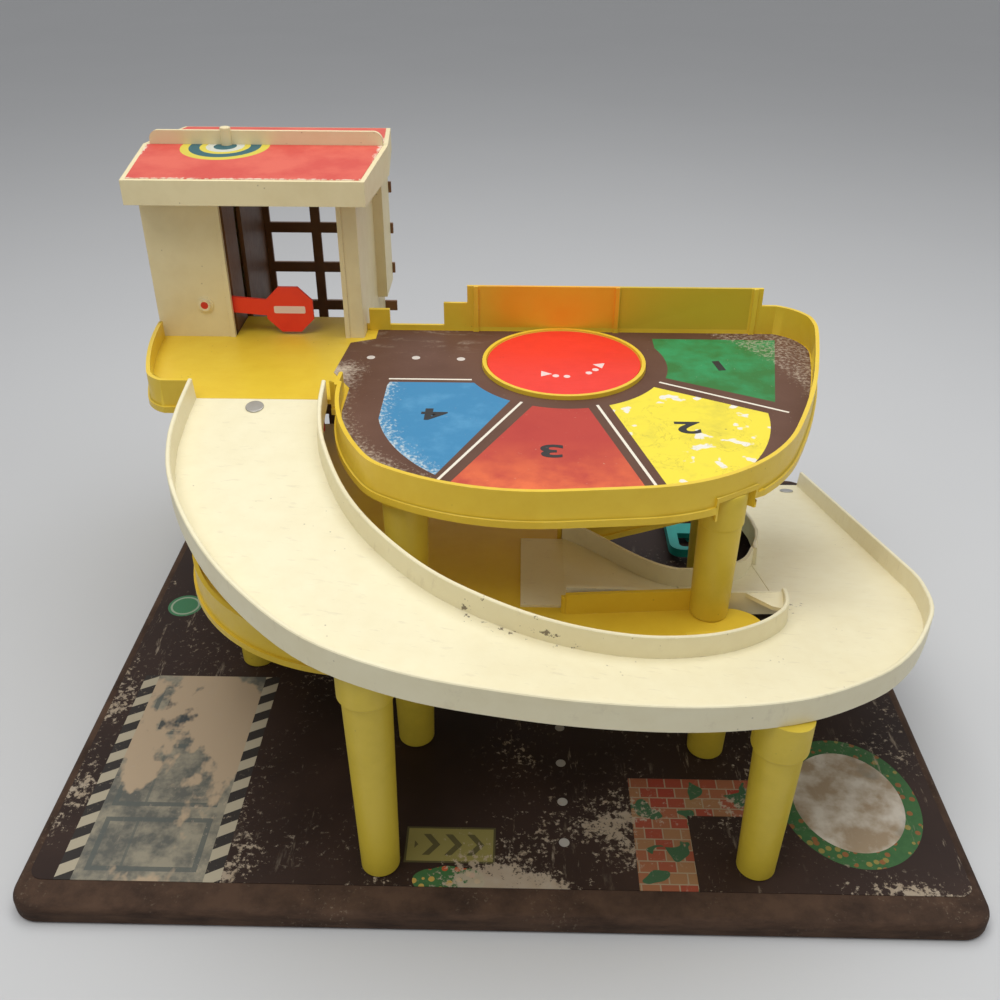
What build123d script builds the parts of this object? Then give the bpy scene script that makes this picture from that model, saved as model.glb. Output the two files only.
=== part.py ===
from build123d import *
from math import atan2, cos, degrees, hypot, pi, radians, sin, sqrt, tan
import os

os.makedirs("parts", exist_ok=True)

# Toy parking garage with a lift, millimetres. +Z is up, +X is to the right and +Y goes to the
# back. The origin is the middle of the base board's underside.

# ---------------------------------------------------------------- driving dimensions
base_width = 508.0
base_depth = 440.0
board_thickness = 11.6
board_corner_radius = 16.0
board_edge_radius = 4.0
sheet_thickness = 0.4
sheet_side_margin = 6.0
sheet_front_margin = 18.0

second_deck_height = 107.0
top_deck_height = 192.0
deck_floor_thickness = 3.0
rim_thickness = 2.4
rim_height = 11.5
skirt_depth = 9.5
lip_height = 4.0
lip_width = 1.6

running_clearance = 0.08
seat_gap = 0.2
moving_gap = 0.4

leg_foot_radius = 10.6
leg_top_radius = 12.8
collar_radius = 14.4
collar_height = 11.0
screw_shank_radius = 1.6
screw_head_radius = 4.0
screw_head_height = 2.4
screw_length = 24.0

ramp_floor_thickness = 2.5
ramp_wall_thickness = 2.4
ramp_wall_height = 13.0
ramp_wall_draft = 0.8
straight_gradient = 0.307
ramp_end_height = 14.7
rivet_shank_radius = 2.7
rivet_head_radius = 5.4
rivet_head_height = 0.8

tower_left = -234.0
tower_right = -97.0
tower_front = 95.5
tower_back = 212.0
tower_wall = 2.5
shaft_left = -184.0
shaft_right = -109.5
shaft_front = 132.0
door_header = 6.0
roof_base_height = 287.0

turntable_x = 36.0
turntable_y = 57.0
turntable_radius = 49.0
turntable_thickness = 2.0

base_top = board_thickness + sheet_thickness
half_width = base_width / 2
half_depth = base_depth / 2


def finish(builder, name):
    """Label a finished piece and write its file."""
    builder.part.label = name
    export_step(builder.part, f"parts/{name}.step")


# ---------------------------------------------------------------- base board and its sheet
deck_legs = {
    "front_left": (-52.0, -93.0),
    "front_right": (122.5, -99.0),
    "rear_right": (143.0, 65.0),
    "side": (-163.5, -23.0),
}
pillars = {
    "front_left": (-53.0, -82.0),
    "front_right": deck_legs["front_right"],
    "rear_right": deck_legs["rear_right"],
}
ramp_legs = {
    "left": (-63.0, -187.0),
    "right": (137.0, -187.0),
}
screw_places = list(deck_legs.values()) + list(ramp_legs.values())
hoist_x = 147.0
hoist_y = 126.0
hoist_ram_radius = 7.0
hoist_ram_depth = 6.0

with BuildPart() as base_board:
    with BuildSketch():
        RectangleRounded(base_width, base_depth, board_corner_radius)
    extrude(amount=board_thickness)
    fillet(base_board.faces().sort_by(Axis.Z)[-1].edges(), board_edge_radius)
    fillet(base_board.faces().sort_by(Axis.Z)[0].edges(), board_edge_radius / 2)
    with BuildSketch(Plane.XY):
        with Locations(*screw_places):
            Circle(screw_head_radius + 0.4)
    extrude(amount=screw_head_height + 0.6, mode=Mode.SUBTRACT)
    with BuildSketch(Plane.XY):
        with Locations(*screw_places):
            Circle(screw_shank_radius + 0.2)
    extrude(amount=board_thickness, mode=Mode.SUBTRACT)
    with BuildSketch(Plane.XY.offset(board_thickness)):
        with Locations((hoist_x, hoist_y)):
            Circle(hoist_ram_radius + running_clearance)
    extrude(amount=-hoist_ram_depth - moving_gap, mode=Mode.SUBTRACT)
finish(base_board, "base_board")

with BuildPart() as base_sheet:
    sheet_width = base_width - 2 * sheet_side_margin
    sheet_depth = base_depth - sheet_front_margin - sheet_side_margin
    sheet_middle = (sheet_front_margin - sheet_side_margin) / 2
    with BuildSketch(Plane.XY.offset(board_thickness)):
        with Locations((0, sheet_middle)):
            RectangleRounded(sheet_width, sheet_depth, board_corner_radius / 2)
        with Locations(*screw_places):
            Circle(screw_shank_radius + 0.2, mode=Mode.SUBTRACT)
        with Locations((hoist_x, hoist_y)):
            Circle(hoist_ram_radius + running_clearance, mode=Mode.SUBTRACT)
    extrude(amount=sheet_thickness)
finish(base_sheet, "base_printed_sheet")


# ---------------------------------------------------------------- decks
def tower_edge():
    """Corner points of a deck round the tower, from its right side to its left side."""
    side = tower_right + seat_gap
    behind = tower_front + tower_wall
    return [
        (side, deck_back),
        (side, behind),
        (shaft_right + 1.2, behind),
        (shaft_right + 1.2, shaft_front - seat_gap),
        (shaft_left + seat_gap, shaft_front - seat_gap),
        (shaft_left + seat_gap, behind),
        (tower_left, behind),
    ]


deck_back = 112.0
mouth_y = 2.5
mouth_left = -188.0
mouth_right = -105.0


def tangent_chain(start, direction, points):
    """Arcs that run smoothly through the points, added to the line in hand."""
    piece = TangentArc(start, points[0], tangent=direction)
    for point in points[1:]:
        piece = TangentArc(piece @ 1, point, tangent=piece % 1)
    return piece


with BuildSketch() as top_plan:
    with BuildLine():
        tangent_chain(
            (tower_left, tower_front + tower_wall),
            (0.05, -1),
            [(-218.5, 16), (-206, mouth_y)],
        )
        Line((-206, mouth_y), (-100, mouth_y))
        front = tangent_chain(
            (-100, mouth_y),
            (0.008, -1),
            [
                (-75.4, -82.7),
                (-62.4, -95.9),
                (26.8, -118),
                (72.2, -113.6),
                (162.1, -48.4),
                (177.9, -9.9),
                (200.5, 76),
            ],
        )
        corner = TangentArc(front @ 1, (180, deck_back), tangent=front % 1)
        Line(corner @ 1, tower_edge()[0])
        Polyline(*tower_edge())
    make_face()


arm_tip_x = 127.0
arm_tip_radius = 19.0
lane_front_left = -87.0
lane_front_right = -80.0
lane_start_x = 35.0
lane_rear_y = -16.0
nose_x = 160.0


# the second deck has two arms, each with a rounded end about its post
rear_post = deck_legs["rear_right"]
arm_rear = lane_front_right - 5.0
tip_centre_y = arm_rear - arm_tip_radius
rear_tip_radius = 30.0

with BuildSketch() as second_plan:
    with BuildLine():
        left_side = tangent_chain(
            (tower_left, tower_front + tower_wall),
            (0.402, -0.916),
            [(-186.6, -45.9), (-86.4, -134.9), (59.8, -131.2), (arm_tip_x, tip_centre_y - arm_tip_radius)],
        )
        tip = ThreePointArc(
            left_side @ 1,
            (arm_tip_x + arm_tip_radius, tip_centre_y),
            (arm_tip_x, arm_rear),
        )
        arm_edge = Line(tip @ 1, (lane_start_x, lane_front_left - 3.0))
        lane_edge = Line(arm_edge @ 1, (lane_start_x, lane_rear_y))
        rear_edge = Line(
            lane_edge @ 1,
            (rear_post[0] + 9, rear_post[1] - rear_tip_radius),
        )
        rear_tip = ThreePointArc(
            rear_edge @ 1,
            (rear_post[0] + rear_tip_radius - 3, rear_post[1] + 6),
            (rear_post[0] - 2, deck_back),
        )
        Line(rear_tip @ 1, tower_edge()[0])
        Polyline(*tower_edge())
    make_face()


back_wall_height = 32.0


def deck_tray(plan, height):
    """Floor, raised rim, hanging skirt and outer lip of a deck."""
    with BuildPart() as tray:
        with BuildSketch(Plane.XY.offset(height - deck_floor_thickness)):
            add(plan.sketch)
        extrude(amount=deck_floor_thickness)
        with BuildSketch(Plane.XY.offset(height - skirt_depth)):
            add(plan.sketch)
            offset(plan.sketch, amount=-rim_thickness, mode=Mode.SUBTRACT)
        extrude(amount=skirt_depth + back_wall_height)
        with BuildSketch(Plane.XY.offset(height - skirt_depth)):
            offset(plan.sketch, amount=lip_width)
            offset(plan.sketch, amount=-rim_thickness / 2, mode=Mode.SUBTRACT)
        extrude(amount=lip_height)
    return tray.part


back_step_height = 20.0
back_curb_height = 4.0
back_wall_start = -28.0
back_step_start = -44.0
back_wall_end = 170.0
rim_slope_end = 40.0
tower_clear = 2.5


def cut_box(low, high):
    """Subtract the box between two corners from the part in hand."""
    size = [high[i] - low[i] for i in range(3)]
    middle = [(high[i] + low[i]) / 2 for i in range(3)]
    with Locations(tuple(middle)):
        Box(*size, mode=Mode.SUBTRACT)


def clear_tower(height):
    """No rim, skirt or lip where the deck runs under and into the tower."""
    front = tower_front - tower_clear
    left = tower_left - lip_width - 1
    right = tower_right + seat_gap + lip_width + rim_thickness
    above = height + back_wall_height + 1
    below = height - skirt_depth - 1
    cut_box((left, front, height), (right, deck_back - rim_thickness, above))
    cut_box((left, front, below), (right, deck_back + 40, height - deck_floor_thickness))
    side = tower_right + seat_gap
    cut_box((left, front, height), (side, deck_back + 40, above))
    cut_box((left, tower_front + tower_wall, below), (side, deck_back + 40, height - deck_floor_thickness))


stub_width = 14.0
stub_height = 15.0
stub_depth = 3.0
ring_width = 2.4
ring_height = 3.0
ring_gap = 0.7
spindle_radius = 4.0
rivet_top = (-149.0, -6.0)
rivet_shelf_drop = 6.2
rivet_shelf_thickness = 2.4
rivet_lean = 1.1


def post_cylinders(height, posts, radius, rise):
    """Cylinders under a deck at its posts: bosses, or the sockets in them."""
    with BuildPart() as cylinders:
        with BuildSketch(Plane.XY.offset(height - deck_floor_thickness - collar_height)):
            with Locations(*posts.values()):
                Circle(radius)
        extrude(amount=collar_height + rise)
    return cylinders.part


top_tray = deck_tray(top_plan, top_deck_height)
second_tray = deck_tray(second_plan, second_deck_height)

with BuildPart() as top_deck:
    add(top_tray)
    high = top_deck_height + rim_height
    above = top_deck_height + back_wall_height + 1
    inner_back = deck_back - rim_thickness - 0.01
    # the rim is low in front and at the left, and slopes up along the right side to the back
    cut_box((-260, -130, high), (160, inner_back - 30, above))
    cut_box((-260, inner_back - 31, high), (150, inner_back, above))
    with BuildSketch(Plane.YZ.offset(149)):
        with BuildLine():
            Polyline(
                (-130, high),
                (rim_slope_end, high),
                (deck_back - 20, top_deck_height + back_step_height),
                (deck_back - 10, top_deck_height + back_step_height),
                (deck_back - 10, above),
                (-130, above),
                close=True,
            )
        make_face()
    extrude(amount=80, mode=Mode.SUBTRACT)
    step = top_deck_height + back_step_height
    cut_box((back_wall_end, deck_back - 11, step), (240, deck_back + 1, above))
    cut_box((back_step_start, deck_back - 11, step), (back_wall_start, deck_back + 1, above))
    curb = top_deck_height + back_curb_height
    cut_box((tower_right - 5, deck_back - 11, curb), (back_step_start, deck_back + 1, above))
    clear_tower(top_deck_height)
    # open mouth over the head of the ramp
    cut_box((mouth_left, mouth_y - 6, top_deck_height), (mouth_right, mouth_y + 4, above))
    cut_box(
        (mouth_left, mouth_y - 6, top_deck_height - skirt_depth - 1),
        (mouth_right, mouth_y + 4, top_deck_height - deck_floor_thickness),
    )
    # free end of the rim beside the ramp head, curled onto the deck
    with BuildSketch(Plane.XY.offset(top_deck_height)):
        with Locations((mouth_right + 4.6, mouth_y + 6)):
            SlotOverall(18, rim_thickness, rotation=88)
    extrude(amount=rim_height)
    # three thin ribs on the back wall and the stub block beside the tower
    with BuildSketch(Plane.XY.offset(top_deck_height)):
        for rib_x in (-22.0, 73.0, 165.0):
            with Locations((rib_x, deck_back - rim_thickness - 0.6)):
                Rectangle(3.0, 1.8)
    extrude(amount=back_wall_height)
    with BuildSketch(Plane.XY.offset(top_deck_height)):
        with Locations((tower_right + seat_gap + 2.0 + stub_width / 2, deck_back - stub_depth / 2)):
            Rectangle(stub_width, stub_depth)
    extrude(amount=stub_height)
    # raised ring and spindle hole of the turntable
    with BuildSketch(Plane.XY.offset(top_deck_height)):
        with Locations((turntable_x, turntable_y)):
            Circle(turntable_radius + ring_gap + ring_width)
            Circle(turntable_radius + ring_gap, mode=Mode.SUBTRACT)
    extrude(amount=ring_height)
    with BuildSketch(Plane.XY.offset(top_deck_height - deck_floor_thickness)):
        with Locations((turntable_x, turntable_y)):
            Circle(spindle_radius + running_clearance)
    extrude(amount=deck_floor_thickness, mode=Mode.SUBTRACT)
    add(post_cylinders(top_deck_height, pillars, collar_radius, deck_floor_thickness))
    add(post_cylinders(top_deck_height, pillars, leg_top_radius + seat_gap, 0), mode=Mode.SUBTRACT)
    # shelf that carries the head of the ramp
    shelf_top = top_deck_height - rivet_shelf_drop
    with BuildSketch(Plane.XY.offset(shelf_top - rivet_shelf_thickness)):
        with Locations((rivet_top[0], mouth_y - 6)):
            Rectangle(56, 20)
        with Locations((rivet_top[0], rivet_top[1] + rivet_lean)):
            Circle(rivet_shank_radius + 0.8, mode=Mode.SUBTRACT)
    extrude(amount=rivet_shelf_thickness)
    with BuildSketch(Plane.XY.offset(shelf_top)):
        with Locations((rivet_top[0], mouth_y + 2)):
            Rectangle(56, 3)
    extrude(amount=rivet_shelf_drop - deck_floor_thickness)
finish(top_deck, "top_deck")

guard_height = 13.5
with BuildPart() as second_deck:
    add(second_tray)
    high = second_deck_height + rim_height
    above = second_deck_height + back_wall_height + 1
    cut_box((-260, -160, high), (260, deck_back + 10, above))
    clear_tower(second_deck_height)
    # level way onto the second ramp, and no rim along the lane
    lane_low = (lane_start_x - 4, lane_front_left - 2.9, second_deck_height)
    cut_box(lane_low, (lane_start_x + 4, lane_rear_y - 1, above))
    cut_box(
        (lane_start_x + 0.01, lane_front_left - 6, second_deck_height),
        (arm_tip_x + 30, lane_front_right + 4, above),
    )
    # rim stays low round the tip of the front arm
    cut_box((108, -130, second_deck_height), (160, lane_front_right, above))
    # guard wall beside the lane and the short wall in front of the post
    with BuildSketch(Plane.XY.offset(second_deck_height - 1)):
        with BuildLine():
            guard = Line((lane_start_x + 1, lane_front_left - 4.4), (107, lane_front_right - 5.6))
            offset(guard, amount=1.2, side=Side.BOTH)
        make_face()
        with BuildLine():
            short_wall = Line((100, -116), (130, -112))
            offset(short_wall, amount=1.0, side=Side.BOTH)
        make_face()
    extrude(amount=guard_height + 1)
    cut_box((98, -119, second_deck_height + 6.5), (133, -110, above))
    add(post_cylinders(second_deck_height, deck_legs, collar_radius, deck_floor_thickness))
    add(post_cylinders(second_deck_height, deck_legs, leg_top_radius + seat_gap, 0), mode=Mode.SUBTRACT)
finish(second_deck, "second_deck")

with BuildPart() as deck_sheet:
    with BuildSketch(Plane.XY.offset(top_deck_height)):
        offset(top_plan.sketch, amount=-rim_thickness - 0.8)
        with BuildLine():
            Polyline(
                (-260, -140),
                (mouth_right + 9, -140),
                (mouth_right + 9, 18),
                (tower_right - 12, 40),
                (tower_right - 8, tower_front - 9),
                (tower_right + 8, tower_front - 2),
                (tower_right + 8, 140),
                (-260, 140),
                close=True,
            )
        make_face(mode=Mode.SUBTRACT)
        with Locations((turntable_x, turntable_y)):
            Circle(turntable_radius + ring_gap + ring_width + 0.3, mode=Mode.SUBTRACT)
        for rib_x in (-22.0, 73.0, 165.0):
            with Locations((rib_x, deck_back - rim_thickness - 0.6)):
                Rectangle(4.0, 3.0, mode=Mode.SUBTRACT)
    extrude(amount=sheet_thickness)
finish(deck_sheet, "top_deck_printed_sheet")


# ---------------------------------------------------------------- ramp geometry
def straight_height(y):
    """Floor height of the straight lower ramp at one depth."""
    return ramp_end_height + straight_gradient * (ramp_end_y - y)


ramp_end_y = 205.0
straight_right = 248.0
straight_left = 172.0
nose_y = -84.0
seam_y = -60.0
ramp_head_left = -189.0
ramp_head_right = -107.0
station_count = 25

with BuildLine() as ramp_guides:
    outer_guide = Spline(
        (ramp_head_left, mouth_y - seat_gap),
        (-175, -90),
        (-110, -166),
        (-10, -207),
        (87, -206),
        (172, -177),
        (straight_right - 5, nose_y),
        tangents=[(0, -1), (0.1, 1)],
    )
    inner_guide = Spline(
        (ramp_head_right, mouth_y - seat_gap),
        (-100, -52),
        (-63, -114),
        (33, -158),
        (102, -148),
        (147, -119),
        (nose_x + 2, nose_y),
        tangents=[(0, -1), (0.05, 1)],
    )


def ramp_stations():
    """Inner point, outer point and floor height along the curved ramp."""
    places = []
    run = 0.0
    last = None
    for index in range(station_count):
        t = index / (station_count - 1)
        inner = inner_guide @ t
        outer = outer_guide @ t
        middle = (inner + outer) / 2
        if last is not None:
            run += (middle - last).length
        last = middle
        places.append((inner, outer, run))
    slope = (top_deck_height - straight_height(nose_y)) / run
    return slope, [(a, b, top_deck_height - slope * s) for a, b, s in places]


def channel(half, inner_wall=True):
    """Channel profile of the ramp, with the top of its floor at zero."""
    wall = ramp_wall_thickness
    foot = half - wall - ramp_wall_draft
    if inner_wall:
        left = [(-half, ramp_wall_height), (-half + wall, ramp_wall_height), (-foot, 0)]
    else:
        left = [(-half, 0)]
    with BuildSketch() as profile:
        with BuildLine():
            Polyline(
                (-half, -ramp_floor_thickness),
                *left,
                (foot, 0),
                (half - wall, ramp_wall_height),
                (half, ramp_wall_height),
                (half, -ramp_floor_thickness),
                close=True,
            )
        make_face()
    return profile.sketch


def station_plane(inner, outer, height):
    """Upright plane across the lane, with x from the inner to the outer edge."""
    across = (outer - inner).normalized()
    middle = (inner + outer) / 2
    return Plane(
        origin=(middle.X, middle.Y, height),
        x_dir=across,
        z_dir=across.cross(Vector(0, 0, 1)),
    )


head_gradient, stations = ramp_stations()
left_wall_points = [(nose_x, 4.0), (166.0, 22.0), (straight_left, 62.0)]
rivet_ground = [(231.0, 185.0), (189.0, 185.0)]
boss_radius = 6.5


def slope_band(below, above, low_y, high_y):
    """Side view of a band that follows the straight ramp's floor."""
    with BuildSketch() as band:
        with BuildLine():
            Polyline(
                (low_y, straight_height(low_y) - below),
                (high_y, straight_height(high_y) - below),
                (high_y, straight_height(high_y) + above),
                (low_y, straight_height(low_y) + above),
                close=True,
            )
        make_face()
    return band.sketch


with BuildSketch() as lower_plan:
    with BuildLine():
        seam_edge = Line((nose_x, seam_y), (nose_x, left_wall_points[0][1]))
        bend = Spline(*left_wall_points, tangents=[(0.45, 1), (0, 1)])
        Polyline(
            bend @ 1,
            (straight_left, ramp_end_y),
            (straight_right, ramp_end_y),
            (straight_right, seam_y),
            (nose_x, seam_y),
        )
    make_face()

with BuildPart() as lower_floor:
    with BuildSketch(Plane.YZ.offset(100)):
        add(slope_band(ramp_floor_thickness, 0, seam_y, ramp_end_y))
    extrude(amount=160)
    with BuildSketch(Plane.XY):
        add(lower_plan.sketch)
    extrude(amount=200, mode=Mode.INTERSECT)

with BuildPart() as lower_walls:
    with BuildSketch(Plane.YZ.offset(100)):
        add(slope_band(ramp_floor_thickness, ramp_wall_height, seam_y, ramp_end_y))
    extrude(amount=160)
    with BuildSketch(Plane.XY):
        with BuildLine():
            bend = Spline(*left_wall_points, tangents=[(0.45, 1), (0, 1)])
            Polyline(
                bend @ 1,
                (straight_left, ramp_end_y),
                (straight_left + ramp_wall_thickness, ramp_end_y),
                (straight_left + ramp_wall_thickness, left_wall_points[2][1]),
            )
            bend_in = Spline(
                (straight_left + ramp_wall_thickness, left_wall_points[2][1]),
                (left_wall_points[1][0] + ramp_wall_thickness, left_wall_points[1][1] - 0.8),
                (nose_x, left_wall_points[0][1] - 6.0),
                tangents=[(0, -1), (-0.45, -1)],
            )
            Line(bend_in @ 1, bend @ 0)
        make_face()
        with Locations((straight_right - ramp_wall_thickness / 2, (seam_y + ramp_end_y) / 2)):
            Rectangle(ramp_wall_thickness, ramp_end_y - seam_y)
    extrude(amount=200, mode=Mode.INTERSECT)

last_inner, last_outer, last_height = stations[-1]
seam_inner = Vector(nose_x, seam_y, 0)
seam_outer = Vector(straight_right, seam_y, 0)



def rivet_plane(place, gradient, height):
    """Plane on the sloping floor under a rivet's head."""
    return Plane(origin=(place[0], place[1], height), x_dir=(1, 0, 0), z_dir=(0, gradient, 1))


rivet_planes = [rivet_plane(p, straight_gradient, straight_height(p[1])) for p in rivet_ground]
head_run = mouth_y - seat_gap - rivet_top[1]
head_level = top_deck_height - head_gradient * head_run + seat_gap
rivet_planes.append(rivet_plane(rivet_top, -head_gradient, head_level))
rivet_length = 5.6

with BuildPart() as main_ramp:
    for inner, outer, height in stations:
        half = (outer - inner).length / 2
        with BuildSketch(station_plane(inner, outer, height)):
            add(channel(half))
    loft(ruled=True)
    for inner, outer, height in (
        stations[-1],
        (seam_inner, seam_outer, straight_height(seam_y)),
    ):
        half = (outer - inner).length / 2
        with BuildSketch(station_plane(inner, outer, height)):
            add(channel(half, inner_wall=False))
    loft(ruled=True)
    add(lower_floor.part)
    add(lower_walls.part)
    # bosses under the ground end, down to the printed sheet
    with BuildSketch(Plane.XY.offset(base_top)):
        with Locations(*rivet_ground):
            Circle(boss_radius)
    extrude(amount=straight_height(rivet_ground[0][1]) - base_top - boss_radius * straight_gradient)
    for plane in rivet_planes:
        with BuildSketch(plane.offset(1.0)):
            Circle(rivet_shank_radius + running_clearance)
        extrude(amount=-rivet_length - 1.6, mode=Mode.SUBTRACT)
finish(main_ramp, "main_ramp")


# ---------------------------------------------------------------- ramp of the second level
flap_rise = 1.6
flap_length = 25.0
flap_inset = 3.5
lane_plane_x = 106.0


def lane_front(x):
    """Front edge of the second lane, a straight line."""
    share = (x - lane_start_x) / (nose_x - lane_start_x)
    return lane_front_left + (lane_front_right - lane_front_left) * share


def lane_section(front, rear, front_height, rear_height):
    """Cross-section of the second lane, with its floor tipped towards the back."""
    wall = ramp_wall_thickness
    with BuildSketch() as section:
        with BuildLine():
            Polyline(
                (front, front_height - ramp_floor_thickness),
                (front, front_height + ramp_wall_height),
                (front + wall, front_height + ramp_wall_height),
                (front + wall, front_height),
                (rear - wall, rear_height),
                (rear - wall, rear_height + ramp_wall_height),
                (rear, rear_height + ramp_wall_height),
                (rear, rear_height - ramp_floor_thickness),
                close=True,
            )
        make_face()
    return section.sketch


lane_level = second_deck_height + flap_rise
lane_rear = {
    lane_start_x + 0.5: -16.5,
    58.0: -22.0,
    80.0: -35.0,
    lane_plane_x: -41.0,
}

with BuildPart() as second_ramp:
    for x, rear in lane_rear.items():
        share = (x - lane_start_x) / (lane_plane_x - lane_start_x)
        front_z = lane_level * (1 - share) + straight_height(lane_front(x)) * share
        rear_z = lane_level * (1 - share) + straight_height(rear) * share
        with BuildSketch(Plane.YZ.offset(x)):
            add(lane_section(lane_front(x), rear, front_z, rear_z))
    loft()
    # level flap that lies on the deck
    with BuildSketch(Plane.XY.offset(second_deck_height)):
        with BuildLine():
            Polyline(
                (lane_start_x - flap_length, lane_front_left + 0.5),
                (lane_start_x + 0.5, lane_front_left + 0.5),
                (lane_start_x + 0.5, lane_rear_y - flap_inset),
                (lane_start_x - flap_length, lane_rear_y - flap_inset),
                close=True,
            )
        make_face()
    extrude(amount=flap_rise)

with BuildPart() as merge_floor:
    with BuildSketch(Plane.YZ.offset(lane_plane_x)):
        add(slope_band(ramp_floor_thickness, 0, -100, 40))
    extrude(amount=nose_x - seat_gap - lane_plane_x)
    with BuildSketch(Plane.XY):
        with BuildLine():
            front_line = Line(
                (lane_plane_x, lane_front(lane_plane_x)),
                (nose_x - seat_gap, lane_front_right),
            )
            side_line = Line(front_line @ 1, (nose_x - seat_gap, left_wall_points[0][1]))
            rear_line = Spline(
                side_line @ 1,
                (148, -22),
                (128, -38),
                (lane_plane_x, lane_rear[lane_plane_x]),
                tangents=[(-0.45, -1), (-1, -0.05)],
            )
            Line(rear_line @ 1, front_line @ 0)
        make_face()
    extrude(amount=200, mode=Mode.INTERSECT)

with BuildPart() as merge_walls:
    with BuildSketch(Plane.YZ.offset(lane_plane_x)):
        add(slope_band(ramp_floor_thickness, ramp_wall_height, -100, 40))
    extrude(amount=nose_x - seat_gap - lane_plane_x)
    with BuildSketch(Plane.XY):
        with BuildLine():
            rear_line = Spline(
                (nose_x - seat_gap, left_wall_points[0][1]),
                (148, -22),
                (128, -38),
                (lane_plane_x, lane_rear[lane_plane_x]),
                tangents=[(-0.45, -1), (-1, -0.05)],
            )
            end_line = Line(rear_line @ 1, (lane_plane_x, lane_rear[lane_plane_x] - ramp_wall_thickness))
            rear_inner = Spline(
                end_line @ 1,
                (128.6, -38 - ramp_wall_thickness),
                (149.6, -22 - ramp_wall_thickness),
                (nose_x - seat_gap, left_wall_points[0][1] - 6.0),
                tangents=[(1, 0.05), (0.45, 1)],
            )
            Line(rear_inner @ 1, rear_line @ 0)
        make_face()
        with BuildLine():
            Polyline(
                (lane_plane_x, lane_front(lane_plane_x)),
                (nose_x - seat_gap, lane_front_right),
                (nose_x - seat_gap, lane_front_right + ramp_wall_thickness),
                (lane_plane_x, lane_front(lane_plane_x) + ramp_wall_thickness),
                close=True,
            )
        make_face()
    extrude(amount=200, mode=Mode.INTERSECT)

web_top = straight_height(lane_front_right) + ramp_wall_height
web_thickness = 2.5

with BuildPart() as second_ramp_full:
    add(second_ramp.part)
    add(merge_floor.part)
    add(merge_walls.part)
    # web that fills the corner between the two ramps at the level of the wall tops
    with BuildSketch(Plane.XY.offset(web_top - web_thickness)):
        Polygon(
            (136, lane_front_right),
            (nose_x - seat_gap, lane_front_right),
            (nose_x - 0.5, -84),
            (155.5, -95),
            (150, -93),
            align=None,
        )
    extrude(amount=web_thickness)
finish(second_ramp_full, "second_level_ramp")


# ---------------------------------------------------------------- legs, pillars, screws, rivets
pilot_depth = 14.6
foot_rounding = 1.5
screw_recess = screw_head_height + 0.6


def tapered_post(place, low, high, pilot=False):
    """Round post that widens upwards, with a pilot hole in its foot where a screw holds it."""
    with BuildPart() as post:
        with BuildSketch(Plane.XY.offset(low)):
            with Locations(place):
                Circle(leg_foot_radius)
        with BuildSketch(Plane.XY.offset(high)):
            with Locations(place):
                Circle(leg_top_radius)
        loft()
        fillet(post.edges().filter_by(GeomType.CIRCLE).sort_by(Axis.Z)[0], foot_rounding)
        if pilot:
            with BuildSketch(Plane.XY.offset(low)):
                with Locations(place):
                    Circle(screw_shank_radius + 0.1)
            extrude(amount=pilot_depth, mode=Mode.SUBTRACT)
    return post


for leg_name, leg_place in deck_legs.items():
    deck_leg = tapered_post(leg_place, base_top, second_deck_height - deck_floor_thickness, pilot=True)
    finish(deck_leg, f"deck_leg_{leg_name}")

for pillar_name, pillar_place in pillars.items():
    pillar = tapered_post(pillar_place, second_deck_height, top_deck_height - deck_floor_thickness)
    finish(pillar, f"pillar_{pillar_name}")

with BuildPart() as ramp_envelope:
    for inner, outer, height in stations:
        half = (outer - inner).length / 2 + seat_gap
        with BuildSketch(station_plane(inner, outer, height)):
            with Locations((0, ramp_wall_height / 2 - ramp_floor_thickness - seat_gap)):
                Rectangle(2 * half, ramp_wall_height)
    loft(ruled=True)

ramp_collar_height = 20.0

for leg_name, leg_place in ramp_legs.items():
    outer_distance = [hypot(b.X - leg_place[0], b.Y - leg_place[1]) for a, b, h in stations]
    local_height = stations[outer_distance.index(min(outer_distance))][2]
    ramp_post = tapered_post(leg_place, base_top, local_height, pilot=True)
    # the top follows the underside of the ramp
    with BuildPart() as ramp_leg:
        add(ramp_post.part)
        with BuildSketch(Plane.XY.offset(local_height)):
            with Locations(leg_place):
                Circle(collar_radius)
        extrude(amount=-ramp_collar_height)
        add(ramp_envelope.part, mode=Mode.SUBTRACT)
    finish(ramp_leg, f"ramp_leg_{leg_name}")

with BuildPart() as leg_screws:
    with BuildSketch(Plane.XY.offset(screw_recess - screw_head_height)):
        with Locations(*screw_places):
            Circle(screw_head_radius)
    extrude(amount=screw_head_height)
    with BuildSketch(Plane.XY.offset(screw_recess)):
        with Locations(*screw_places):
            Circle(screw_shank_radius)
    extrude(amount=screw_length - screw_head_height)
    with Locations(*[(x, y, screw_recess - screw_head_height + 0.5) for x, y in screw_places]):
        Box(5.0, 0.9, 1.0, mode=Mode.SUBTRACT)
        Box(0.9, 5.0, 1.0, mode=Mode.SUBTRACT)
finish(leg_screws, "leg_screws")

with BuildPart() as ramp_rivets:
    for plane in rivet_planes:
        with BuildSketch(plane):
            Circle(rivet_head_radius)
        extrude(amount=rivet_head_height)
        with BuildSketch(plane):
            Circle(rivet_shank_radius)
        extrude(amount=-rivet_length)
    tops = ramp_rivets.faces().filter_by(GeomType.PLANE).sort_by(SortBy.AREA)[-6:]
    fillet([f.edges() for f in tops if f.normal_at().Z > 0], rivet_head_height / 2)
finish(ramp_rivets, "ramp_rivets")

# ---------------------------------------------------------------- turntable
retainer_radius = 9.0
retainer_thickness = 2.0
press_gap = 0.02

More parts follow.
